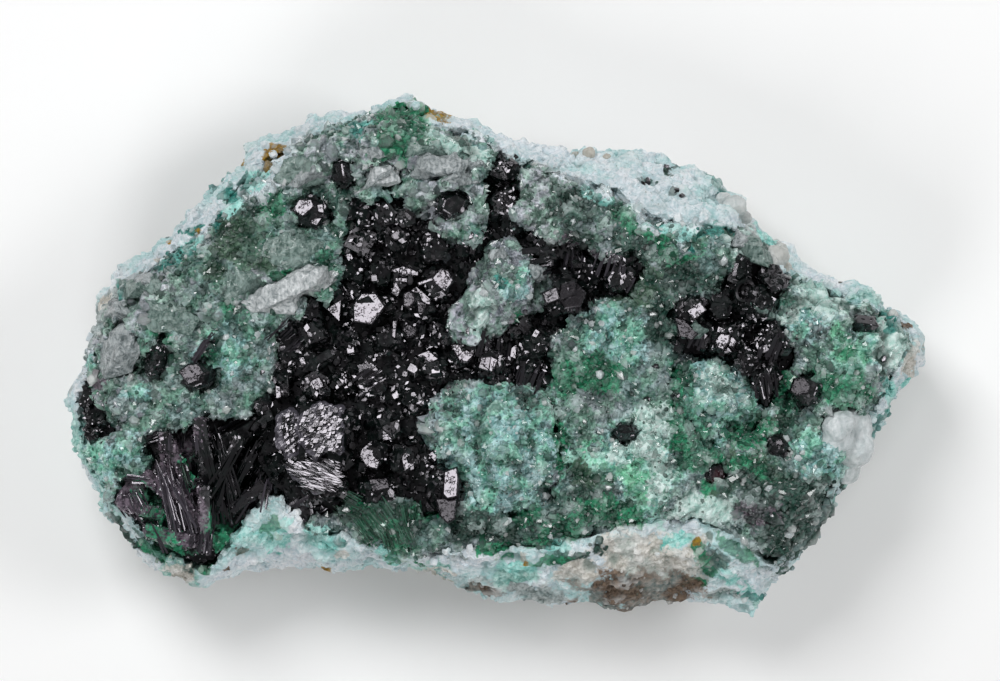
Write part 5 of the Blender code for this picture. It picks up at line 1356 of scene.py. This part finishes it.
def make_face_material():
    """The shining crystal faces, with fine cracks and pits."""
    material, shader, shading = new_material("atacamite_face", {
        "Base Color": colour(16, 15, 18), "Roughness": 0.24, "IOR": 1.82, "Specular Tint": SHINE_TINT,
    })
    place = shading.add("ShaderNodeTexCoord").outputs["Object"]
    sway = shading.add("ShaderNodeTexNoise", {"Vector": place, "Scale": 2200.0}).outputs["Color"]
    bent = shading.add("ShaderNodeVectorMath", {0: sway, 1: (0.0007, 0.0007, 0.0007), 2: place},
                       operation="MULTIPLY_ADD").outputs[0]
    cells = shading.add(
        "ShaderNodeTexVoronoi", {"Vector": bent, "Scale": 1100.0}, feature="DISTANCE_TO_EDGE"
    )
    gaps = shading.math("ADD", cells.outputs["Distance"],
                        shading.between(shading.noise(1.3, 2.0), 0.42, 0.56, 0.0, 0.2))
    cracks = shading.between(gaps, 0.0, 0.07)
    pits = shading.between(shading.noise(0.34, 4.0, 0.65), 0.40, 0.46)
    height = shading.math("MULTIPLY", cracks, pits)
    shading.bump(shader, height, 0.8, 0.08)
    return material


def make_etched_material():
    """Silvery crystal faces that are etched all over in fine hollows."""
    material, shader, shading = new_material("atacamite_etched", {
        "Base Color": colour(74, 72, 80), "Roughness": 0.28, "IOR": ATACAMITE_IOR,
        "Specular Tint": (0.97, 0.93, 1.0, 1.0),
    })
    fine = shading.noise(0.16, 3.0, 0.6, stretch=(0.55, 1.0, 1.0))
    broad = shading.noise(0.8, 3.0, 0.6)
    height = shading.math("ADD", shading.math("MULTIPLY", fine, 0.6), shading.math("MULTIPLY", broad, 0.8))
    shading.bump(shader, height, 0.4, 0.08)
    return material


def make_clear_material(name, dark, light, transmission, grain):
    """Clear or milky quartz with veils inside."""
    material, shader, shading = new_material(
        name, {"Roughness": 0.14, "Transmission Weight": transmission, "IOR": QUARTZ_IOR}
    )
    veil = shading.between(shading.noise(grain, 6.0, 0.75, distortion=0.8), 0.38, 0.60)
    streaks = shading.between(shading.noise(0.6 * grain, 4.0, 0.6, stretch=(1.0, 0.25, 1.0)), 0.35, 0.65)
    both = shading.math("ADD", shading.math("MULTIPLY", veil, 0.6), shading.math("MULTIPLY", streaks, 0.4))
    body = shading.mix(both, dark, light)
    warmth = shading.math("MULTIPLY", shading.attribute("warm"), 0.55)
    shading.feed(shader, {"Base Color": shading.mix(warmth, body, colour(178, 158, 128))})
    shading.bump(shader, shading.noise(0.4 * grain, 5.0, 0.7), 0.6, 0.14 * grain)
    return material


def make_fibre_material():
    """Fine silky green fibres."""
    material, shader, shading = new_material("green_fibres", {"Roughness": 0.4})
    tone = shading.attribute("tone")
    body = shading.mix(shading.between(tone, 0.3, 1.0), colour(10, 50, 36), colour(56, 108, 86))
    shading.feed(shader, {"Base Color": body})
    return material


def rind_at(points):
    """How much of the pale rind covers each point, by its height."""
    return np.clip((points[:, 2] - RIND_START) / RIND_RISE, 0.0, 1.0)


def build_rock(material):
    """The host rock with its broken rim and back."""
    rock = copy_solid("matrix", "host_rock")
    remesh(rock, ROCK_VOXEL)
    apply_modifier(rock, "DISPLACE", strength=0.12 * MM, mid_level=0.0)
    shape_surface(rock, ROCK_STEPS)
    set_attribute(rock, "rind", rind_at(corners_of(rock)))
    mark_stains(rock, PATCHES)
    add_piece(rock, material, "copper_stained_rock", "matrix")
    return rock


def build_crumbs(rock, cover, patterns, material, rng):
    """Crumbs of rind that lie on the open rock."""
    spots, normals, _ = surface_spots(rock, CRUMB_SPACING, CRUMB_LOWEST, 0.0, rng)
    up = Vector((0, 0, 1))
    open_sky = np.array([cover.ray_cast(Vector(spot) + 0.1 * up, up)[0] is None for spot in spots])
    spots, normals = spots[open_sky], normals[open_sky]
    crumbs, owners = grow_crystals("rim_crumbs", spots, normals, CRUMB_SIZES, patterns, 0.0, 0.0, rng)
    # Each crumb gets a random relief, mostly high, so the rock material gives most crumbs its painted
    # highlight and a few its painted shade
    set_attribute(crumbs, "relief", rng.uniform(-0.8, 2.4, len(spots))[owners])
    set_attribute(crumbs, "rind", rind_at(spots)[owners])
    mark_stains(crumbs, PATCHES, spots + rng.normal(0.0, 0.15, spots.shape), owners)
    add_piece(crumbs, material, "copper_stained_rock")


def build_druse(node, patterns, materials, seed):
    """One quartz crust: its lumpy ground and the crystals that stand on it."""
    rng = np.random.default_rng(seed)
    short = node.replace("quartz", "druse")
    ground = copy_solid(node, short + "_ground")
    remesh(ground, DRUSE_VOXEL)
    apply_modifier(ground, "DISPLACE", strength=0.2 * MM, mid_level=0.0)
    shape_surface(ground, DRUSE_STEPS)
    set_attribute(ground, "paleness", np.full(len(ground.data.vertices), DRUSE[node]))
    mark_stains(ground, PATCHES)
    add_piece(ground, materials[0], "drusy_quartz", node)
    for layer, (spacing, least, most, length, spread) in enumerate(POINT_LAYERS, start=1):
        spots, normals, relief = surface_spots(ground, spacing, POINT_LOWEST, -0.2, rng)
        sparse = in_places(spots, SMOOTH_PLACES) & (rng.uniform(size=len(spots)) < SPARSE_SHARE)
        spots, normals, relief = spots[~sparse], normals[~sparse], relief[~sparse]
        points, owners = grow_crystals(
            f"{short}_points_{layer}", spots, normals, ((least, most), length, spread), patterns, 0.6,
            SPARKLE_SHARE, rng,
        )
        # Each point takes the relief of the ground under it, which gives it the painted shade of hollows
        # and the painted highlight of lumps
        set_attribute(points, "relief", relief[owners])
        set_attribute(points, "paleness", np.full(len(owners), DRUSE[node]))
        mark_stains(points, PATCHES, spots + rng.normal(0.0, 0.22, spots.shape), owners)
        add_piece(points, materials[1], "drusy_quartz")
    return ground


def build_glassy(grounds, patterns, material, seed):
    """The larger clear crystals of the crusts."""
    rng = np.random.default_rng(seed)
    spots, normals, relief, least_most = [], [], [], []
    for x, y, half_length, half_width, spacing, least, most in GLASSY_PLACES:
        for ground in grounds:
            own, facing, height = surface_spots(ground, spacing, GLASSY_LOWEST, 0.2, rng)
            near = in_places(own, ((x, y, half_length, half_width, 0),))
            spots.append(own[near])
            normals.append(facing[near])
            relief.append(height[near])
            least_most.append(np.tile((least, most), (near.sum(), 1)))
    spots, normals, relief = np.concatenate(spots), np.concatenate(normals), np.concatenate(relief)
    least_most = np.concatenate(least_most)
    axes = unit(normals + (0.0, 0.0, 0.5) + 0.55 * rng.normal(size=spots.shape))
    axes[:, 2] = np.abs(axes[:, 2])
    across = least_most[:, 0] + (least_most[:, 1] - least_most[:, 0]) * rng.uniform(size=len(spots)) ** 1.6
    sizes = np.stack([across, 0.9 * across, across * rng.uniform(0.5, 1.3, len(spots))], axis=1)
    item, owners = join_copies("glassy_crystals", patterns, spots, turns_for(unit(axes), rng), sizes, rng)
    # The ground's relief, raised a little, which sets how much painted shade or painted highlight each
    # crystal gets
    set_attribute(item, "relief", relief[owners] + 0.1)
    set_attribute(item, "paleness", np.full(len(owners), 0.8))
    mark_stains(item, PATCHES, spots, owners)
    add_piece(item, material, "drusy_quartz")


def build_grains(name, rows, tree, patterns, material, slot, seed):
    """Single grains at known places."""
    rng = np.random.default_rng(seed)
    spots = np.array([(x, y, height_at(tree, x, y, BARE_CRUST) + 0.25 * half) for x, y, half in rows])
    across = np.array([half for _, _, half in rows])
    axes = unit(np.array([0.0, 0.0, 1.0]) + 0.4 * rng.normal(size=spots.shape))
    sizes = np.stack([across, 0.9 * across, 0.8 * across], axis=1)
    item, _ = join_copies(name, patterns, spots, turns_for(axes, rng), sizes, rng)
    add_piece(item, material, slot)


def bevelled_body(node, width):
    """The grown body of a cluster or crystal, with its edges taken off."""
    body = copy_solid(node, node + "_body")
    apply_modifier(body, "BEVEL", width=width * MM, segments=1, limit_method="ANGLE", angle_limit=0.5)
    return body


def build_cluster(node, patterns, materials, seed):
    """One atacamite cluster: its grown body and the small crystals all over it."""
    rng = np.random.default_rng(seed)
    body = bevelled_body(node, 0.05)
    spacing, *sizes = NEEDLEWORK[node]
    spots, normals, _ = surface_spots(body, spacing, CLUSTER_LOWEST, -0.2, rng)
    covered = under_faces(spots, BRIGHT_FACES.get(node, ()))
    if node == "atacamite_main_cluster":
        covered |= under_faces(spots, ETCHED_FACES)
    fan = node == "atacamite_blades"
    if fan:
        covered |= (spots[:, 0] > FAN_SPLIT) & (rng.uniform(size=len(spots)) < FAN_SHARE)
    spots, normals = spots[~covered], normals[~covered]
    crystals, owners = grow_crystals(
        node + "_small_crystals", spots, normals, sizes, patterns, 0.5, FACING_SHARE, rng
    )
    if fan:
        mark_stains(body, FAN_PATCHES)
        mark_stains(crystals, FAN_PATCHES, spots, owners)
    add_piece(body, materials[0], "atacamite", node)
    add_piece(crystals, materials[1], "atacamite")
    return body, crystals


def build_single(node, patterns, material, seed):
    """One atacamite crystal that stands alone, with smaller ones grown into its sides."""
    rng = np.random.default_rng(seed)
    body = bevelled_body(node, 0.08)
    add_piece(body, material, "atacamite", node)
    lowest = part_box(node)[0].z / MM + 1.0
    spots, normals, _ = surface_spots(body, SIDE_SPACING, lowest, -0.3, rng)
    covered = under_faces(spots, BRIGHT_FACES.get(node, ()))
    crystals, _ = grow_crystals(
        node + "_side_crystals", spots[~covered], normals[~covered], SIDE_SIZES, patterns, 0.2, 0.2, rng
    )
    add_piece(crystals, material, "atacamite")
    return body, crystals


def build_clear(node, material, tree):
    """One clear piece of quartz or calcite, with broken edges."""
    name = node + "_crystal"
    piece = add_shards(name, CLEAR_OUTLINES.get(node, ()), tree, copy_solid(node, name))
    add_piece(piece, material, "clear_quartz", node)


def build_floor():
    """The pale surface that the specimen lies on."""
    bpy.ops.object.select_all(action="DESELECT")
    bpy.ops.mesh.primitive_plane_add(size=FLOOR_SIZE * MM)
    floor = bpy.context.object
    floor.name = "floor"
    values = {"Base Color": (0.97, 0.97, 0.97, 1.0), "Roughness": 0.9}
    floor.data.materials.append(new_material("floor_white", values)[0])


def build_lights():
    """Three soft square lamps round the specimen, the key up and to the left, and a pale sky."""
    for name, (away, size, brightness) in LAMPS.items():
        place = VIEW_MIDDLE + away * LAMP_DISTANCE
        lamp = bpy.data.lights.new(name, "AREA")
        lamp.shape = "SQUARE"
        lamp.size = size * MM
        lamp.energy = brightness * math.pi * (size * MM) ** 2
        item = bpy.data.objects.new(name, lamp)
        item.location = place * MM
        item.rotation_euler = (VIEW_MIDDLE - place).to_track_quat("-Z", "Y").to_euler()
        bpy.context.scene.collection.objects.link(item)
    world = bpy.data.worlds.new("sky")
    world.use_nodes = True
    sky = {"Color": (1.0, 1.0, 1.0, 1.0), "Strength": WORLD_LIGHT}
    Shading(world.node_tree).feed(world.node_tree.nodes["Background"], sky)
    bpy.context.scene.world = world
    bpy.context.scene.view_settings.view_transform = "Standard"


def build_camera():
    """Camera straight above the specimen."""
    data = bpy.data.cameras.new("camera")
    data.sensor_width = SENSOR_WIDTH
    data.lens = SENSOR_WIDTH * (CAMERA_HEIGHT - VIEW_MIDDLE.z) / VIEW_WIDTH
    data.clip_start = NEAREST_SEEN
    data.clip_end = FURTHEST_SEEN
    camera = bpy.data.objects.new("camera", data)
    camera.location = (VIEW_MIDDLE.x * MM, VIEW_MIDDLE.y * MM, CAMERA_HEIGHT * MM)
    bpy.context.scene.collection.objects.link(camera)
    bpy.context.scene.camera = camera


build_camera()
build_lights()
build_floor()

GROUPS = {"stain": build_stain_group(), "mottle": build_mottle_group()}

quartz_patterns = [
    model_pattern(6, 1.0, 1.05, (0.001, 0.001, 0.0)),
    model_pattern(6, 0.9, 0.85, (0.001, 0.001, 0.30)),
    model_pattern(5, 0.85, 0.8, (0.3, 0.2, -0.15)),
]
atacamite_patterns = [
    model_pattern(4, 0.8, 0.45, (0.6, 0.05, 0.0)),
    model_pattern(4, 0.9, 0.25, (0.72, 0.6, 0.1)),
    model_pattern(6, 0.75, 0.3, (0.7, 0.62, 0.0)),
    model_pattern(5, 0.9, 0.15, (0.85, 0.8, 0.0)),
]
crumb_patterns = [
    model_pattern(5, 0.8, 0.5, (0.6, 0.45, 0.1)),
    model_pattern(7, 0.9, 0.35, (0.7, 0.6, -0.1)),
]
plate_pattern = model_pattern(4, 0.9, 0.1, (0.85, 0.8, 0.0))
blade_pattern = model_pattern(4, 0.7, 0.5, (0.4, 0.3, 0.0))

rock_material = make_rock_material()
druse_materials = (make_druse_material("druse_ground", 0.0), make_druse_material("druse_points", 0.3))
glass_material = make_druse_material("glassy_quartz", 0.55)
blacks = {name: make_atacamite_material(name, *values) for name, values in ATACAMITE_FINISHES.items()}
clears = {name: make_clear_material(name, *values) for name, values in CLEAR_FINISHES.items()}
face_material = make_face_material()
etched_material = make_etched_material()
fibre_material = make_fibre_material()

rock = build_rock(rock_material)
grounds = {}
for number, node in enumerate(DRUSE):
    grounds[node] = build_druse(node, quartz_patterns, druse_materials, 10 + number)
build_glassy(list(grounds.values()), quartz_patterns, glass_material, 20)

crust_tree = tree_of(rock, *grounds.values())
draws = random.Random(5)
bodies, covers = {}, {}
for number, node in enumerate(NEEDLEWORK):
    names = ("atacamite_grown", "atacamite")
    if node == "atacamite_blades":
        names = ("atacamite_fan_ground", "atacamite_fan")
    finish = [blacks[name] for name in names]
    bodies[node], covers[node] = build_cluster(node, atacamite_patterns, finish, 30 + number)
for number, node in enumerate(sorted(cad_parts)):
    if node.startswith("atacamite_crystal"):
        finish = blacks["atacamite_red" if node.endswith("bottom_right") else "atacamite"]
        bodies[node], covers[node] = build_single(node, atacamite_patterns, finish, 50 + number)
    elif node in CLEAR_NODES:
        build_clear(node, clears[CLEAR_NODES[node]], crust_tree)

fan_tree = tree_of(bodies["atacamite_blades"])
body_tree = tree_of(rock, *grounds.values(), *bodies.values())
whole_tree = tree_of(rock, *grounds.values(), *bodies.values(), *covers.values())
cover_tree = tree_of(*grounds.values(), *bodies.values())
build_crumbs(rock, cover_tree, crumb_patterns, rock_material, np.random.default_rng(70))

for node, rows in BRIGHT_FACES.items():
    facets = add_faceted_crystals(node + "_bright_crystals", rows, tree_of(bodies[node]), draws)
    add_piece(facets, face_material, "atacamite")
cluster_tree = tree_of(bodies["atacamite_main_cluster"])
etched = add_faceted_crystals("etched_crystals", ETCHED_FACES, cluster_tree, draws)
remesh(etched, ETCHED_VOXEL)
push_steps(etched, ETCHED_STEPS)
etched.data.shade_flat()
add_piece(etched, etched_material, "atacamite")
cluster_tree = tree_of(bodies["atacamite_main_cluster"], etched)
for number, row in enumerate(ETCHED_SCALES, start=1):
    plates = lay_plates(
        f"etched_scales_{number}", etched_rows(*row, draws), cluster_tree, plate_pattern,
        np.random.default_rng(80 + number), draws,
    )
    add_piece(plates, blacks["atacamite"], "atacamite")
glints = lay_plates(
    "glinting_facets", glint_rows(GLINTS, draws), whole_tree, plate_pattern,
    np.random.default_rng(88), draws,
)
add_piece(glints, blacks["atacamite"], "atacamite")

for name, bundles, tree, material, seed in (
    ("blade_fan", BLADE_BUNDLES, fan_tree, blacks["atacamite_blade"], 90),
    ("striped_crystals", STRIPED_BUNDLES, body_tree, blacks["atacamite_blade"], 91),
    ("green_fibres", FIBRE_BUNDLES, whole_tree, fibre_material, 92),
):
    blades = add_blades(name, bundles, tree, blade_pattern, np.random.default_rng(seed), draws)
    add_piece(blades, material, "atacamite")
ringed = add_ringed_crystals("ringed_crystals", RINGED, body_tree)
add_piece(ringed, blacks["atacamite_grown"], "atacamite")

for name, rows, tree, finish in (
    ("clear_shards", SHARDS, crust_tree, "veiled_quartz"),
    ("greenish_shards", GREEN_SHARDS, crust_tree, "greenish_quartz"),
    ("cluster_shards", CLUSTER_SHARDS, body_tree, "greenish_quartz"),
):
    add_piece(add_shards(name, rows, tree), clears[finish], "clear_quartz")
clear_material = clears["clear_quartz"]
knobs = add_knobs("quartz_knobs", KNOBS, crust_tree)
add_piece(knobs, clear_material, "clear_quartz")
chunk_copy = copy_solid("quartz_chunk_right", "quartz_chunk_right_copy")
chunk = add_knobs("quartz_chunk_right_crystal", CHUNK_KNOBS, crust_tree, chunk_copy)
add_piece(chunk, clear_material, "clear_quartz", "quartz_chunk_right")
for name, rows, patterns, material, slot, seed in (
    ("white_grains", WHITE_GRAINS, quartz_patterns, clear_material, "clear_quartz", 95),
    ("dark_grains", DARK_GRAINS, atacamite_patterns, blacks["atacamite"], "atacamite", 96),
):
    build_grains(name, rows, crust_tree, patterns, material, slot, seed)
